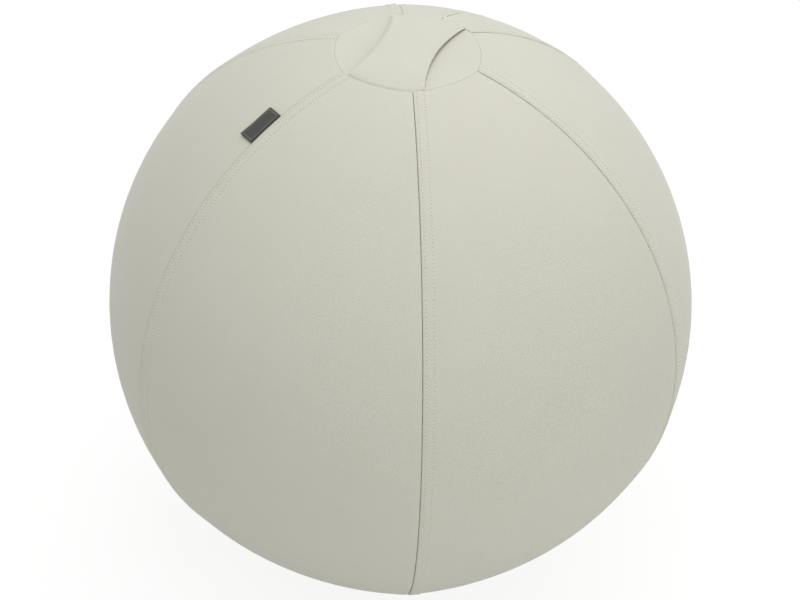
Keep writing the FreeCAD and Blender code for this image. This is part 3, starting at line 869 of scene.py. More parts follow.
def panel_rows(cover):
    """Places down a panel: distance from the crown's rim and depth of a turned edge."""
    half_stitches = 2 * stitch_count(cover)
    top = turned_edge(RIM_GAP, RIM_FOLD, RIM_TURN_IN)
    middle = [(SEAM_LENGTH * step / half_stitches, 0.0) for step in range(1, half_stitches)]
    return top + middle + [(SEAM_LENGTH - along, depth) for along, depth in reversed(top)]


def closed_zip_gap(share, along):
    """The zip's two edges meet above and below its slit."""
    outside = smooth((ZIP_START - along) / ZIP_CLOSES_ABOVE) + smooth((along - ZIP_END) / ZIP_CLOSES_BELOW)
    return (ZIP_GAP - SEAM_GAP) * outside * (1 if share else -1)


def cover_panel(name, cover):
    """A panel of sewn cloth with turned edges, a stitched lap along one seam and puckers beside both."""
    cut = PANELS[name]
    columns, rows = panel_columns(cut), panel_rows(cover)
    points, places, sewing = [], [], []
    for along, rim_depth in rows:
        polar = RIM_POLAR + along / SEAM_RADIUS
        width = cut.width(polar)
        tightness = RIM_TIGHTNESS * fade(from_nearer_rim(along), RIM_TIGHT_REACH)
        for share, distance, depth in columns:
            from_start = share * width + distance
            if cut.edges.get(share) == "zip" and abs(distance) < ZIP_EDGE_REACH:
                from_start += closed_zip_gap(share, along)
            point, out = cut.place(polar, from_start)
            relief = panel_relief(cover, cut, along, from_start, width)
            if depth <= SEAM_FOLD:
                depth *= 1 - tightness
            points.append(point + out * (relief - depth - rim_depth))
            places.append((from_start - width / 2, SEAM_LENGTH - along))
            sewing.append(sewing_place(cover, cut, along, from_start, width))
    piece = soft_piece(name + "_cloth", points, grid_faces(len(rows), len(columns)), places, cover_twill())
    add_map(piece.data, "sewing", sewing)
    thicken(piece, cover.cloth_thickness)
    return piece


def cut_area(cut):
    """Area of the flat cloth of a panel, summed over strips across it, with what its edges turn in."""
    step = SEAM_LENGTH / AREA_STRIPS
    widths = [cut.width(RIM_POLAR + (strip + 0.5) * step / SEAM_RADIUS) for strip in range(AREA_STRIPS)]
    return sum((width + 2 * SEAM_TURN_IN) * step for width in widths)


class BALL_OT_cover(bpy.types.Operator):
    """Sews the seven panels of the cover"""

    bl_idname = "ball.cover"
    bl_label = "Cover panels"

    def execute(self, context):
        for name, cut in PANELS.items():
            piece = cover_panel(name, context.scene.ball_cover)
            on_ball(piece, "cover_fabric", name)
            size = (cut.width(math.pi / 2) + 2 * SEAM_TURN_IN, SEAM_LENGTH + 2 * RIM_TURN_IN)
            cut_area(cut)
        return {"FINISHED"}


# Topstitching

STITCH_GAP = 0.3  # share of the pitch between two stitches
THREAD_RADIUS = 0.54 * MM
THREAD_FLATNESS = 0.75
STITCH_TAPER = 0.35
STITCH_RISE = 0.4  # of its middle above the cloth, in thread radii
STITCH_DIP = 1.5  # of its ends below its middle
STITCH_RINGS = 5
STITCH_SIDES = 6
STITCH_SWAY = math.radians(5)
SWAY_STEP = 0.71
SWAY_SEED = 0.3
BAR_STITCHES = 5
BAR_LENGTH = 6 * MM
BAR_PITCH = 2.2 * THREAD_RADIUS
BAR_FROM_SLIT = 2.5 * MM
ROW_PAST_SLIT = 6 * MM


def stitch_form(length):
    """One stitch along X, arched over the cloth with its ends drawn in: points, faces and flat places."""
    points, places = [], []
    for ring in range(STITCH_RINGS):
        share = 2 * ring / (STITCH_RINGS - 1) - 1
        radius = THREAD_RADIUS * (1 - STITCH_TAPER * share**4)
        rise = THREAD_RADIUS * (STITCH_RISE - STITCH_DIP * share**4)
        for side in range(STITCH_SIDES):
            turn = 2 * math.pi * side / STITCH_SIDES
            height = rise + THREAD_FLATNESS * radius * math.sin(turn)
            points.append(Vector((share * length / 2, radius * math.cos(turn), height)))
            places.append((share * length / 2, side * 2 * THREAD_RADIUS))
    return points, flipped(tube_faces(STITCH_RINGS, STITCH_SIDES)), places


def sewn_row(name, spots, length):
    """Stitches at spots, each a point, the direction along the row and the direction out of the cloth."""
    form, form_faces, form_places = stitch_form(length)
    points, faces, places = [], [], []
    for number, (point, along, out) in enumerate(spots):
        side = out.cross(along).normalized()
        sway = noise.noise(Vector((number * SWAY_STEP, len(spots), SWAY_SEED))) * STITCH_SWAY
        along = (along + side * sway).normalized()
        side = out.cross(along)
        faces += shifted(form_faces, len(points))
        points += [point + along * at.x + side * at.y + out * at.z for at in form]
        places += form_places
    piece = soft_piece(name, points, faces, places, cover_thread())
    on_ball(piece, "cover_fabric")


def row_spots(cover, cut, from_start, last):
    """Spots of one row of stitches down a panel. A distance below zero is measured from its end seam."""
    pitch = even_pitch(cover)
    spots = []
    for number in range(stitch_count(cover)):
        along = (number + 0.5) * pitch
        if along >= last:
            break
        polar = RIM_POLAR + along / SEAM_RADIUS
        polar_below = polar + MM / SEAM_RADIUS
        width = cut.width(polar)
        across = from_start % width
        point, out = cut.place(polar, across)
        below, _ = cut.place(polar_below, from_start % cut.width(polar_below))
        relief = panel_relief(cover, cut, along, across, width)
        spots.append((point + out * relief, (below - point).normalized(), out))
    return spots


def bar_tack(along):
    """A short bar of close stitches across the zip's line."""
    spots = []
    for number in range(BAR_STITCHES):
        at = along + (number - (BAR_STITCHES - 1) / 2) * BAR_PITCH
        point, out = PANELS["zip_panel_left"].place(RIM_POLAR + at / SEAM_RADIUS, 0.0)
        spots.append((point, RIGHT, out))
    return spots


class BALL_OT_topstitch(bpy.types.Operator):
    """Sews the rows of stitches along the seams and the zip"""

    bl_idname = "ball.topstitch"
    bl_label = "Topstitching"

    def execute(self, context):
        cover = context.scene.ball_cover
        for name, cut in PANELS.items():
            spots = []
            if cut.start_edge == "lap":
                for row in (cover.first_row, cover.second_row):
                    spots += row_spots(cover, cut, row, SEAM_LENGTH)
            if "zip" in (cut.start_edge, cut.end_edge):
                row = ZIP_ROW if cut.start_edge == "zip" else -ZIP_ROW
                spots += row_spots(cover, cut, row, ZIP_END + ROW_PAST_SLIT)
            sewn_row("topstitch_" + name, spots, (1 - STITCH_GAP) * even_pitch(cover))
        tacks = bar_tack(ZIP_START - BAR_FROM_SLIT) + bar_tack(ZIP_END + BAR_FROM_SLIT)
        sewn_row("zip_bar_tacks", tacks, BAR_LENGTH)
        return {"FINISHED"}


# Crown and base

# Places in from a disc's edge, in millimetres
DISC_DISTANCES = (2.2, 3.4, 5.0, 7.0, 9.5, 13.0, 18.0, 25.0, 34.0, 45.0, 56.0, 66.0)
DISC_SIDES = 240
DISC_RIPPLES = 9
DISC_RIPPLE_REACH = 10 * MM
DISC_EVEN_SHARE = 0.4  # of the crown's ripple that is the same all round
BASE_CLOTH_HEIGHT = 0.45 * MM
DOT_PITCH = 9 * MM
DOT_RADIUS = 2.3 * MM
DOT_SIDES = 10
DOT_FIELD = 68 * MM
DOT_ROOT = BASE_CLOTH_HEIGHT + 0.1 * MM
DOT_PROFILE = ((DOT_RADIUS, DOT_ROOT), (DOT_RADIUS, 0.25 * MM), (0.6 * DOT_RADIUS, 0.04 * MM))


def disc_cloth(name, height, rise, facing, cover, material):
    """The round cloth of the crown or the base, with its edge turned into the rim's seam."""
    rings = turned_edge(RIM_GAP, RIM_FOLD, RIM_TURN_IN)
    rings += [(distance * MM, 0.0) for distance in DISC_DISTANCES]
    points, places = [], []
    for from_rim, depth in rings:
        for side in range(DISC_SIDES):
            direction = facing * 2 * math.pi * side / DISC_SIDES
            radius = rim_distance(direction) - from_rim
            form = rise * (1 - (radius / RIM_RADIUS) ** 2)
            if rise:
                ripple = noise.noise(DISC_RIPPLES * compass(direction) + UP * from_rim / RIM_RIPPLE_RUN)
                pucker = DISC_EVEN_SHARE + (1 - DISC_EVEN_SHARE) * ripple
                form += cover.ripple * pucker * fade(from_rim, DISC_RIPPLE_REACH)
                form -= cover.rim_sink * fade(from_rim, RIM_SINK_REACH)
            across = compass(direction) * radius
            points.append(across + UP * (height + facing * (form - depth)))
            places.append((across.x, across.y))
    points.append(UP * (height + facing * rise))
    places.append((0.0, 0.0))
    faces = flipped(grid_faces(len(rings), DISC_SIDES, wrap=True))
    faces += fan((len(rings) - 1) * DISC_SIDES, DISC_SIDES, len(points) - 1)
    piece = soft_piece(name, points, faces, places, material)
    thicken(piece, cover.cloth_thickness)
    return piece


def dot_form():
    """One grip dot at the origin: points and faces."""
    points = []
    for radius, height in DOT_PROFILE:
        for side in range(DOT_SIDES):
            points.append(compass(2 * math.pi * side / DOT_SIDES) * radius + UP * height)
    points.append(Vector((0, 0, 0)))
    rings = len(DOT_PROFILE)
    faces = grid_faces(rings, DOT_SIDES, wrap=True)
    faces += flipped(fan((rings - 1) * DOT_SIDES, DOT_SIDES, len(points) - 1))
    return points, faces + [tuple(range(DOT_SIDES))]


def grip_dots(material):
    """Low rubber dots in rows over the base cloth."""
    form, form_faces = dot_form()
    points, faces, places = [], [], []
    reach = int(DOT_FIELD / DOT_PITCH) + 1
    for row in range(-reach, reach + 1):
        for column in range(-reach, reach + 1):
            middle = Vector((column + 0.5 * (row % 2), row * math.sqrt(0.75), 0)) * DOT_PITCH
            if middle.length > DOT_FIELD:
                continue
            faces += shifted(form_faces, len(points))
            points += [middle + at for at in form]
            places += [(middle.x, middle.y)] * len(form)
    return soft_piece("base_grip_dots", points, faces, places, material)


class BALL_OT_discs(bpy.types.Operator):
    """Sews in the crown and the base with its grip dots"""

    bl_idname = "ball.discs"
    bl_label = "Crown and base"

    def execute(self, context):
        cover = context.scene.ball_cover
        crown = disc_cloth("crown_cloth", CROWN_HEIGHT, CROWN_RISE, 1, cover, cover_twill())
        on_ball(crown, "cover_fabric", "crown_disc")
        base = disc_cloth("base_cloth", BASE_CLOTH_HEIGHT, 0.0, -1, cover, grip_cloth())
        on_ball(base, "base_fabric", "base_disc")
        dots = grip_dots(rubber_material())
        on_ball(dots, "base_fabric")
        return {"FINISHED"}


# Carry strap

STRAP_ROWS = 96
STRAP_COLUMNS = 26
STRAP_EDGE_STEPS = 5
STRAP_END_TRIES = 12
STRAP_DIP = 1.6 * MM  # how far its ends go down into the rim's seam
STRAP_DIP_REACH = 1.5 * MM
STRAP_PRESSED = 0.6  # share of its thickness that is lost in the rim's seam
STRAP_PRESS_REACH = 5 * MM
STRAP_EASE_REACH = 8 * MM
STRAP_CROWN_SHARE = 0.3  # of the crown's rise that lifts it
STRAP_UNEVEN = 0.25 * MM
STRAP_UNEVEN_ACROSS = 22 * MM
STRAP_UNEVEN_ALONG = 30 * MM
STRAP_SEED = 2.7
CORD_INSET = 2.6 * MM
CORD_SPREAD = 2.2 * MM
CORD_END_EASE = 15 * MM
EDGE_SLIMNESS = 0.6


def strap_half_width(at):
    """Half the strap's width at a distance from its middle: an arc from end to waist to end."""
    sag = (STRAP_END_WIDTH - STRAP_WAIST_WIDTH) / 2
    radius = (RIM_RADIUS**2 + sag**2) / (2 * sag)
    return STRAP_WAIST_WIDTH / 2 + radius - math.sqrt(radius**2 - at**2)


def strap_end(share, way):
    """Distance from the strap's middle at which it goes into the rim's seam, at a share of its half width."""
    end = RIM_RADIUS
    for _ in range(STRAP_END_TRIES):
        across = share * strap_half_width(min(end, RIM_RADIUS))
        direction = math.atan2(way * end, across) + STRAP_TURN
        reach = rim_distance(direction) - RIM_GAP
        end = math.sqrt(max(reach**2 - across**2, 0.0))
    return end


def strap_thinness(from_rim):
    """Share of the strap's thickness that is left where it is pressed into the rim's seam."""
    return 1 - STRAP_PRESSED * fade(from_rim, STRAP_PRESS_REACH)


def strap_height(strap, across_share, at, from_rim):
    """Height of the strap's middle layer: flat at its hems, arched over the hand and cambered across."""
    arch = STRAP_RISE * (1 - (at / (RIM_RADIUS - STRAP_HEM)) ** 2)
    eased = 0.5 * (arch + math.sqrt(arch**2 + (2 * STRAP_FILLET) ** 2))
    eased -= STRAP_FILLET * fade(abs(arch), STRAP_EASE_REACH)
    crown = STRAP_CROWN_SHARE * CROWN_RISE * (1 - (at / RIM_RADIUS) ** 2)
    hang = strap.camber * across_share**2 * smooth(eased / STRAP_RISE)
    lift = STRAP_LAYER_GAP + strap.thickness / 2 * strap_thinness(from_rim)
    dip = STRAP_DIP * fade(from_rim, STRAP_DIP_REACH)
    return CROWN_HEIGHT + crown + lift + max(eased, 0.0) - hang - dip


def strap_section(strap):
    """Round the strap's section: share across, and offsets across and up that round its edges."""
    half = strap.thickness / 2
    section = []
    for way in (1, -1):
        for step in range(STRAP_COLUMNS + 1):
            section.append((way * math.sin(math.pi * (step / STRAP_COLUMNS - 0.5)), 0.0, way * half))
        for step in range(1, STRAP_EDGE_STEPS):
            turn = way * RIGHT_ANGLE - math.pi * step / STRAP_EDGE_STEPS
            section.append((float(way), half * math.cos(turn), half * math.sin(turn)))
    return section


def strap_fullness(strap, from_edge, from_rim):
    """How far the strap's upper face stands out over the cloth turned in along its edges."""
    return strap.edge_cord * bell(from_edge - CORD_INSET, CORD_SPREAD) * smooth(from_rim / CORD_END_EASE)


def carry_strap(strap):
    section = strap_section(strap)
    points, places = [], []
    turn = Matrix.Rotation(STRAP_TURN, 3, "Z")
    for row in range(STRAP_ROWS + 1):
        along = -math.cos(math.pi * row / STRAP_ROWS)
        for share, aside, above in section:
            end = strap_end(share, 1 if along > 0 else -1)
            at = along * end
            from_rim = end - abs(at)
            half_width = strap_half_width(at) - strap.thickness / 2
            across = share * half_width + aside
            from_edge = (1 - abs(share)) * half_width
            slim = EDGE_SLIMNESS + (1 - EDGE_SLIMNESS) * smooth(from_edge / CORD_INSET)
            spot = Vector((across / STRAP_UNEVEN_ACROSS, at / STRAP_UNEVEN_ALONG, STRAP_SEED))
            height = strap_height(strap, share, at, from_rim) + above * strap_thinness(from_rim) * slim
            height += STRAP_UNEVEN * noise.noise(spot)
            if above > 0:
                height += strap_fullness(strap, from_edge, from_rim)
            points.append(turn @ Vector((across, at, 0)) + UP * height)
            places.append((across, at))
    faces = flipped(tube_faces(STRAP_ROWS + 1, len(section)))
    return soft_piece("carry_strap", points, faces, places, cover_twill())


class BALL_OT_strap(bpy.types.Operator):
    """Sews on the carry strap"""

    bl_idname = "ball.strap"
    bl_label = "Carry strap"

    def execute(self, context):
        strap = carry_strap(context.scene.ball_strap)
        on_ball(strap, "cover_fabric", "carry_handle")
        return {"FINISHED"}


# Side tag

TAG_STEPS = 24
LEAF_STEPS = 12
TAG_FOLD_STEPS = 6
TAG_TUCK = 0.75 * MM  # how far its leaves run into the seam
TAG_TUCK_DEPTH = 0.5 * MM
TAG_BEND = 0.75  # share of the ball's curve that its upper half follows
TAG_LOWER_BEND = 0.3  # share of that for its lower half
TAG_BILLOW = 0.25 * MM


def tag_section(tag):
    """Section of the folded ribbon from its lower leaf round the fold to its upper leaf and back inside.

    Each place holds the distance from the sewn root and the height."""
    straight = TAG_WIDTH - 2 * TAG_HALF_HEIGHT

    def path(radius):
        lower = [(-TAG_TUCK, -TAG_TUCK_DEPTH - radius)]
        lower += [(straight * step / LEAF_STEPS, -radius) for step in range(LEAF_STEPS)]
        bend = []
        for step in range(TAG_FOLD_STEPS + 1):
            turn = math.pi * step / TAG_FOLD_STEPS - RIGHT_ANGLE
            bend.append((straight + radius * math.cos(turn), radius * math.sin(turn)))
        upper = [(straight * step / LEAF_STEPS, radius) for step in reversed(range(LEAF_STEPS))]
        upper.append((-TAG_TUCK, radius - TAG_TUCK_DEPTH))
        return lower + bend + upper

    return path(TAG_HALF_HEIGHT) + list(reversed(path(TAG_HALF_HEIGHT - tag.ribbon_thickness)))


def side_tag(tag):
    """The ribbon, bent to the ball along its length, with its lower free corner lifted."""
    joint = JOINTS["tag_flip"]
    root = Vector(joint["pos_m"])
    upward = Vector(joint["axis"]).normalized()
    cut = PANELS["front_left_panel"]
    _, out = cut.place(TAG_POLAR, cut.width(TAG_POLAR) - TAG_WIDTH / 2)
    out = (out - upward * out.dot(upward)).normalized()
    away = out.cross(upward)
    section = tag_section(tag)
    points, places = [], []
    for step in range(TAG_STEPS + 1):
        share = 2 * step / TAG_STEPS - 1
        at = share * TAG_LENGTH / 2
        bend = TAG_BEND * (1 if share > 0 else TAG_LOWER_BEND) * at**2 / (2 * SEAM_RADIUS)
        for from_root, height in section:
            outer = from_root / TAG_WIDTH
            up = height - bend + tag.corner_lift * outer**2 * smooth(-share)
            if height > 0:
                up += TAG_BILLOW * math.sin(math.pi * min(outer, 1.0))
            points.append(root + upward * at + away * from_root + out * up)
            places.append((at + TAG_LENGTH / 2, from_root + TAG_HALF_HEIGHT))
    faces = tube_faces(TAG_STEPS + 1, len(section))
    return soft_piece("tag_ribbon", points, faces, places, ribbon_material(tag))


class BALL_OT_tag(bpy.types.Operator):
    """Folds the bare ribbon tag that is sewn into the left seam"""

    bl_idname = "ball.tag"
    bl_label = "Side tag"

    def execute(self, context):
        tag = side_tag(context.scene.ball_tag)
        only(tag)
        bpy.ops.object.mode_set(mode="EDIT")
        bpy.ops.mesh.select_all(action="SELECT")
        bpy.ops.mesh.normals_make_consistent(inside=False)
        bpy.ops.object.mode_set(mode="OBJECT")
        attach(tag, "side_tag")
        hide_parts("side_tag")
        return {"FINISHED"}


# Zip

TAPE_ROWS = 120
TAPE_COLUMNS = 10
TAPE_RIDGE = 0.05 * MM
TAPE_RIDGES = 6
TAPE_CLEARANCE = 0.1 * MM
PULL_LENGTH = 26 * MM
PULL_HALF_WIDTH = 4.5 * MM
PULL_SIDES = 32
PULL_SHOULDER = 2.6 * MM
PULL_FORK = 1.4 * MM
PULL_FORK_DEPTH = 3.0 * MM
PULL_THICKNESS = 1.3 * MM
PULL_RECESS = 0.3 * MM
PULL_BORDER = 1.0 * MM
PULL_SHARP = math.radians(30)
PULL_SMOOTH = math.radians(35)
PIN_LENGTH = 2 * PULL_SHOULDER + 0.4 * MM
PIN_SIDES = 20
PIN_SHARP = math.radians(50)
NEAR = 0.02 * MM


def zip_tape(side, material):
    """One half of the zip's tape, behind the cover's edge."""
    across = [TAPE_NEAR + TAPE_WIDTH * step / TAPE_COLUMNS for step in range(TAPE_COLUMNS + 1)]
    if side < 0:
        across = [-aside for aside in reversed(across)]
    points, places = [], []
    for row in range(TAPE_ROWS + 1):
        polar = ZIP_TOP + (TAPE_END - ZIP_TOP) * row / TAPE_ROWS
        out = Vector((0, math.sin(polar), math.cos(polar)))
        for aside in across:
            wave = math.cos(2 * math.pi * TAPE_RIDGES * (abs(aside) - TAPE_NEAR) / TAPE_WIDTH)
            points.append(BALL_CENTRE + out * (TAPE_RADIUS - TAPE_RIDGE * (1 + wave)) + RIGHT * aside)
            places.append((aside, -polar * TAPE_RADIUS))
    faces = flipped(grid_faces(TAPE_ROWS + 1, len(across)))
    hand = "right" if side > 0 else "left"
    piece = soft_piece(f"zip_tape_{hand}_woven", points, faces, places, material)
    thicken(piece, TAPE_THICKNESS - TAPE_CLEARANCE)
    on_ball(piece, "zip_tape", f"zip_tape_{hand}")


def select_in_edit(piece, kind, test):
    """Selects in edit mode the edges or faces whose middle passes a test."""
    form = bmesh.from_edit_mesh(piece.data)
    for part in [*form.verts, *form.edges, *form.faces]:
        part.select_set(False)
    for part in getattr(form, kind):
        middle = sum((corner.co for corner in part.verts), Vector()) / len(part.verts)
        if test(middle, part):
            part.select_set(True)
    if kind == "faces":
        form.select_flush_mode()
    else:
        form.select_flush(True)
    bmesh.update_edit_mesh(piece.data)


def level_edges(height):
    """A test for edges that lie level at a height."""

    def test(middle, edge):
        first, second = edge.verts
        return abs(middle.z - height) < NEAR and abs(first.co.z - second.co.z) < NEAR

    return test


def pull_outline(pull, back, shoulder_height):
    """In edit mode, makes a disc into a tear drop that ends in a fork."""
    end_centre = PULL_PIN.z - PULL_LENGTH + PULL_HALF_WIDTH
    bpy.ops.mesh.select_mode(type="EDGE")
    bpy.ops.mesh.select_all(action="SELECT")
    bpy.ops.mesh.bisect(plane_co=(0, back, end_centre), plane_no=(0, 0, 1), clear_outer=True)
    select_in_edit(pull, "edges", level_edges(end_centre))
    bpy.ops.mesh.extrude_edges_move(TRANSFORM_OT_translate={"value": (0, 0, shoulder_height - end_centre)})
    narrow = PULL_SHOULDER / PULL_HALF_WIDTH
    bpy.ops.transform.resize(value=(narrow, 1, 1), center_override=(0, back, shoulder_height))
    for side in (-1, 1):
        bpy.ops.mesh.select_all(action="SELECT")
        bpy.ops.mesh.bisect(plane_co=(side * PULL_FORK, back, 0), plane_no=(1, 0, 0))
    at_shoulder = level_edges(shoulder_height)

    def under_arm(middle, edge):
        return at_shoulder(middle, edge) and abs(middle.x) > PULL_FORK

    select_in_edit(pull, "edges", under_arm)
    arm = PULL_PIN.z + PULL_THICKNESS / 2 - shoulder_height
    bpy.ops.mesh.extrude_edges_move(TRANSFORM_OT_translate={"value": (0, 0, arm)})


def zip_pull(zip_settings, material):
    """A forked tear-drop tongue with a raised border, hung on its pin."""
    deselect_all()
    back = PULL_PIN.y - PULL_THICKNESS / 2
    front = back + PULL_THICKNESS
    shoulder_height = PULL_PIN.z - PULL_FORK_DEPTH
    bpy.ops.mesh.primitive_circle_add(
        vertices=PULL_SIDES, radius=PULL_HALF_WIDTH, fill_type="NGON",
        location=(0, back, PULL_PIN.z - PULL_LENGTH + PULL_HALF_WIDTH), rotation=(RIGHT_ANGLE, 0, 0),
    )
    pull = bpy.context.object
    pull.name = pull.data.name = "zip_pull_tongue"
    bpy.ops.object.transform_apply(location=True, rotation=True, scale=True)
    bpy.ops.object.mode_set(mode="EDIT")
    pull_outline(pull, back, shoulder_height)
    bpy.ops.mesh.select_mode(type="FACE")
    bpy.ops.mesh.select_all(action="SELECT")
    bpy.ops.mesh.extrude_region_move(TRANSFORM_OT_translate={"value": (0, PULL_THICKNESS, 0)})
    bpy.ops.mesh.select_all(action="SELECT")
    bpy.ops.mesh.normals_make_consistent(inside=False)
    select_in_edit(
        pull, "faces", lambda middle, face: abs(middle.y - front) < NEAR and middle.z < shoulder_height
    )
    bpy.ops.mesh.inset(thickness=PULL_BORDER, depth=0)
    bpy.ops.mesh.inset(thickness=PULL_RECESS, depth=-PULL_RECESS)
    bpy.ops.object.mode_set(mode="OBJECT")
    round_edges(pull, zip_settings.pull_edge, segments=3, sharper_than=PULL_SHARP)
    pin = pull_pin(zip_settings)
    only(pull)
    pin.select_set(True)
    bpy.ops.object.join()
    bpy.ops.object.shade_smooth_by_angle(angle=PULL_SMOOTH)
    pull.data.materials.clear()
    pull.data.materials.append(material)
    return pull


def pull_pin(zip_settings):
    """The pin on which the tongue swings, with riveted ends."""
    deselect_all()
    bpy.ops.mesh.primitive_cylinder_add(
        vertices=PIN_SIDES, radius=PULL_THICKNESS / 2, depth=PIN_LENGTH,
        location=PULL_PIN, rotation=(0, RIGHT_ANGLE, 0),
    )
    pin = bpy.context.object
    bpy.ops.object.transform_apply(location=True, rotation=True, scale=True)
    round_edges(pin, zip_settings.pull_edge, segments=2, sharper_than=PIN_SHARP)
    return pin


class BALL_OT_zip(bpy.types.Operator):
    """Makes the zip's tapes and pull and finishes its coils, stops and slider"""

    bl_idname = "ball.zip"
    bl_label = "Zip"

    def execute(self, context):
        settings = context.scene.ball_zip
        tape = tape_material(settings.tape_colour)
        for side in (1, -1):
            zip_tape(side, tape)
        coil = moulded_material("coil nylon", settings.tape_colour, grain_size=0.4 * MM, roughness=0.45)
        for node in ("zip_coil_right", "zip_coil_left"):
            wear(node, coil)
        metal = metal_material("zip metal", settings.metal_colour)
        for node in ("zip_upper_stop", "zip_lower_stops", "zip_slider"):
            wear(node, metal)
        pull = zip_pull(settings, metal)
        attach(pull, "zip_pull")
        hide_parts("zip_pull")
        return {"FINISHED"}


# Inside the cover

POUCH_SIDES = 120
POUCH_RINGS = 16
POUCH_UNDER_RINGS = 5
POUCH_FOOT_SHARES = (0.8, 0.5, 0.2)
POUCH_LIP = 0.25 * MM
POUCH_GATHERS = 9
GATHER_RUN = 40 * MM
GATHER_REACH = 14 * MM
GATHER_INWARD = 0.7 * MM
GATHER_DOWN = 0.6 * MM
GATHER_FLOOR = POUCH_FOOT + 4 * MM


def pouch_profile():
    """Places from the middle of the pouch's top round to the middle of its foot: radius and height."""

    def bowl_height(radius):
        return BALL_CENTRE.z - math.sqrt(POUCH_BOWL**2 - radius**2)

    rise = POUCH_TOP - bowl_height(POUCH_RADIUS)
    dome = (POUCH_RADIUS**2 + rise**2) / (2 * rise)
    foot = math.sqrt(POUCH_BOWL**2 - (BALL_CENTRE.z - POUCH_FOOT) ** 2)
    profile = []
    for ring in range(1, POUCH_RINGS + 1):
        radius = POUCH_RADIUS * math.sin(RIGHT_ANGLE * ring / POUCH_RINGS)
        profile.append((radius, POUCH_TOP - dome + math.sqrt(dome**2 - radius**2)))
    for ring in range(1, POUCH_UNDER_RINGS + 1):
        radius = POUCH_RADIUS + (foot - POUCH_RADIUS) * ring / POUCH_UNDER_RINGS
        profile.append((radius, bowl_height(radius)))
    return profile + [(foot * share, POUCH_FOOT) for share in POUCH_FOOT_SHARES]


def sand_pouch(material):
    """The sewn pouch, puckered along its edge seam, inside the space that the frame gives it."""
    profile = pouch_profile()
    points, places = [UP * POUCH_TOP], [(0.0, 0.0)]
    for radius, height in profile:
        near_edge = fade(POUCH_RADIUS - radius, GATHER_REACH)
        for side in range(POUCH_SIDES):
            facing = compass(2 * math.pi * side / POUCH_SIDES)
            gather = 0.5 + 0.5 * noise.noise(facing * POUCH_GATHERS + UP * height / GATHER_RUN)
            inward = POUCH_LIP + GATHER_INWARD * gather * near_edge
            lowered = GATHER_DOWN * gather * near_edge if height > GATHER_FLOOR else 0.0
            points.append(facing * (radius - inward) + UP * (height - lowered))
            places.append((facing.x * radius, facing.y * radius))
    points.append(UP * POUCH_FOOT)
    places.append((0.0, 0.0))
    rings = len(profile)
    faces = shifted(grid_faces(rings, POUCH_SIDES, wrap=True), 1) + fan(1, POUCH_SIDES, 0)
    faces += flipped(fan(1 + (rings - 1) * POUCH_SIDES, POUCH_SIDES, len(points) - 1))
    return soft_piece("sand_pouch", points, faces, places, material)


class BALL_OT_filling(bpy.types.Operator):
    """Makes the sand pouch and finishes the inner ball, its valve and the sand"""

    bl_idname = "ball.filling"
    bl_label = "Inner ball and pouch"

    def execute(self, context):
        pouch = sand_pouch(grip_cloth())
        on_ball(pouch, "pouch_cloth", "weight_pouch")
        skin = moulded_material("inner ball skin", BALL_SKIN_COLOUR, grain_size=0.9 * MM, roughness=0.5)
        wear("inner_ball", skin)
        plastic = moulded_material("valve plastic", VALVE_COLOUR, grain_size=0.5 * MM, roughness=0.4)
        wear("valve_plug", plastic)
        wear("sand_fill", sand_material())
        return {"FINISHED"}


# Stage

FLOOR_SIZE = 40.0
FLOOR_GLOW = 0.78  # share of the floor's look that is even white
FLOOR_WHITE = 1.1
FLOOR_COLOUR = (0.80, 0.80, 0.79, 1)
WHITE = (1, 1, 1, 1)
LAMP_SIZE = 1.8
LAMP_PLACES = {"side": (2.279, -1.316, 1.273), "top": (0, 0, 2.916), "rear": (0, 2.145, 2.116)}
SENSOR_WIDTH = 36.0  # millimetres, as the lens is
AIM_RIGHT = -0.3 * MM  # the ball's middle lies a little off the middle of the picture
AIM_UP = -0.54 * MM


def seen_directly(tree):
    """1 for what the camera, a reflection or glass sees, and 0 for light on the object."""
    path = add_node(tree, "ShaderNodeLightPath").outputs
    seen = calculate(tree, "MAXIMUM", path["Is Camera Ray"], path["Is Glossy Ray"])
    return calculate(tree, "MAXIMUM", seen, path["Is Transmission Ray"])


def mixed_shader(tree, factor, first, second):
    inputs = {0: factor, 1: first.outputs[0], 2: second.outputs[0]}
    return add_node(tree, "ShaderNodeMixShader", inputs)


def studio_world(stage):
    """Even soft light from all round, in front of a white background."""
    world = bpy.data.worlds.new("studio")
    world.use_nodes = True
    tree = world.node_tree
    tree.nodes.clear()
    light = add_node(tree, "ShaderNodeBackground", {"Color": WHITE, "Strength": stage.ambient})
    white = add_node(tree, "ShaderNodeBackground", {"Color": WHITE, "Strength": 1.0})
    shown = mixed_shader(tree, seen_directly(tree), light, white)
    add_node(tree, "ShaderNodeOutputWorld", {"Surface": shown.outputs[0]})
    bpy.context.scene.world = world


def floor_material():
    """A pale floor that looks white and keeps a soft shadow."""
    material = bpy.data.materials.new("studio floor")
    material.use_nodes = True
    tree = material.node_tree
    tree.nodes.clear()
    paint = add_node(tree, "ShaderNodeBsdfDiffuse", {"Color": FLOOR_COLOUR})
    glow = add_node(tree, "ShaderNodeEmission", {"Color": WHITE, "Strength": FLOOR_WHITE})
    bright = mixed_shader(tree, FLOOR_GLOW, paint, glow)
    shown = mixed_shader(tree, seen_directly(tree), paint, bright)
    add_node(tree, "ShaderNodeOutputMaterial", {"Surface": shown.outputs[0]})
    return material


def softbox(name, place, power):
    """A large round lamp that faces the ball."""
    lamp = bpy.data.lights.new(name, "AREA")
    lamp.shape = "DISK"
    lamp.size = LAMP_SIZE
    lamp.energy = power
    holder = bpy.data.objects.new(name, lamp)
    holder.location = place
    holder.rotation_euler = (BALL_CENTRE - Vector(place)).to_track_quat("-Z", "Y").to_euler()
    bpy.context.scene.collection.objects.link(holder)


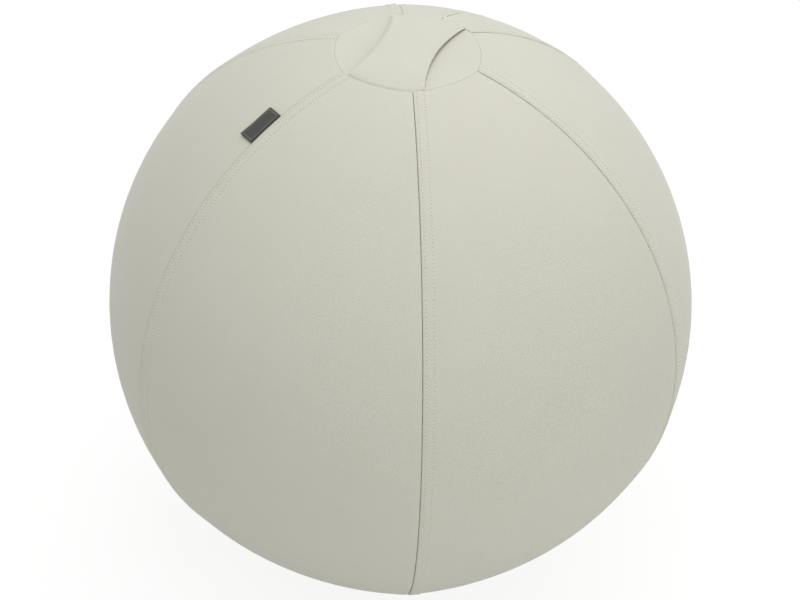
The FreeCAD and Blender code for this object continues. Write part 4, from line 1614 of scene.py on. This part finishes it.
def photo_camera(stage):
    back = compass(stage.azimuth - RIGHT_ANGLE) * math.cos(stage.elevation) + UP * math.sin(stage.elevation)
    facing = (-back).to_track_quat("-Z", "Y") @ Quaternion((0, 0, 1), stage.roll)
    aim = BALL_CENTRE + facing @ Vector((AIM_RIGHT, AIM_UP, 0))
    lens = bpy.data.cameras.new("photo camera")
    lens.lens = stage.lens
    lens.sensor_width = SENSOR_WIDTH
    camera = bpy.data.objects.new("photo camera", lens)
    camera.rotation_mode = "QUATERNION"
    camera.rotation_quaternion = facing
    camera.location = aim + back * stage.distance
    bpy.context.scene.collection.objects.link(camera)
    bpy.context.scene.camera = camera


class BALL_OT_stage(bpy.types.Operator):
    """Sets up the floor, the lamps and the camera"""

    bl_idname = "ball.stage"
    bl_label = "Stage"

    def execute(self, context):
        stage = context.scene.ball_stage
        deselect_all()
        bpy.ops.mesh.primitive_plane_add(size=FLOOR_SIZE, location=(0, 0, 0))
        floor = context.object
        floor.name = "studio_floor"
        floor.data.materials.append(floor_material())
        studio_world(stage)
        for name, place in LAMP_PLACES.items():
            softbox(name + " lamp", place, getattr(stage, name))
        photo_camera(stage)
        context.scene.view_settings.view_transform = "Standard"
        return {"FINISHED"}


class BALL_PT_pieces(bpy.types.Panel):
    """Shows the ball's operators and their settings"""

    bl_idname = "BALL_PT_pieces"
    bl_label = "Sitting ball"
    bl_space_type = "VIEW_3D"
    bl_region_type = "UI"
    bl_category = "Sitting ball"

    def draw(self, context):
        for operator in OPERATORS:
            self.layout.operator(operator.bl_idname)
        for name, settings in SETTINGS.items():
            box = self.layout.box()
            for key in settings.__annotations__:
                box.prop(getattr(context.scene, name), key)


OPERATORS = (
    BALL_OT_topstitch,
    BALL_OT_cover,
    BALL_OT_filling,
    BALL_OT_discs,
    BALL_OT_strap,
    BALL_OT_tag,
    BALL_OT_zip,
    BALL_OT_stage,
)
CLASSES = (*SETTINGS.values(), *OPERATORS, BALL_PT_pieces)


def register():
    for made in CLASSES:
        bpy.utils.register_class(made)
    for name, settings in SETTINGS.items():
        setattr(bpy.types.Scene, name, PointerProperty(type=settings))


def unregister():
    for name in SETTINGS:
        delattr(bpy.types.Scene, name)
    for made in reversed(CLASSES):
        bpy.utils.unregister_class(made)


def main():
    register()
    bpy.ops.ball.topstitch()
    bpy.ops.ball.cover()
    bpy.ops.ball.filling()
    bpy.ops.ball.discs()
    bpy.ops.ball.strap()
    bpy.ops.ball.tag()
    bpy.ops.ball.zip()
    bpy.ops.ball.stage()


if __name__ == "__main__":
    main()
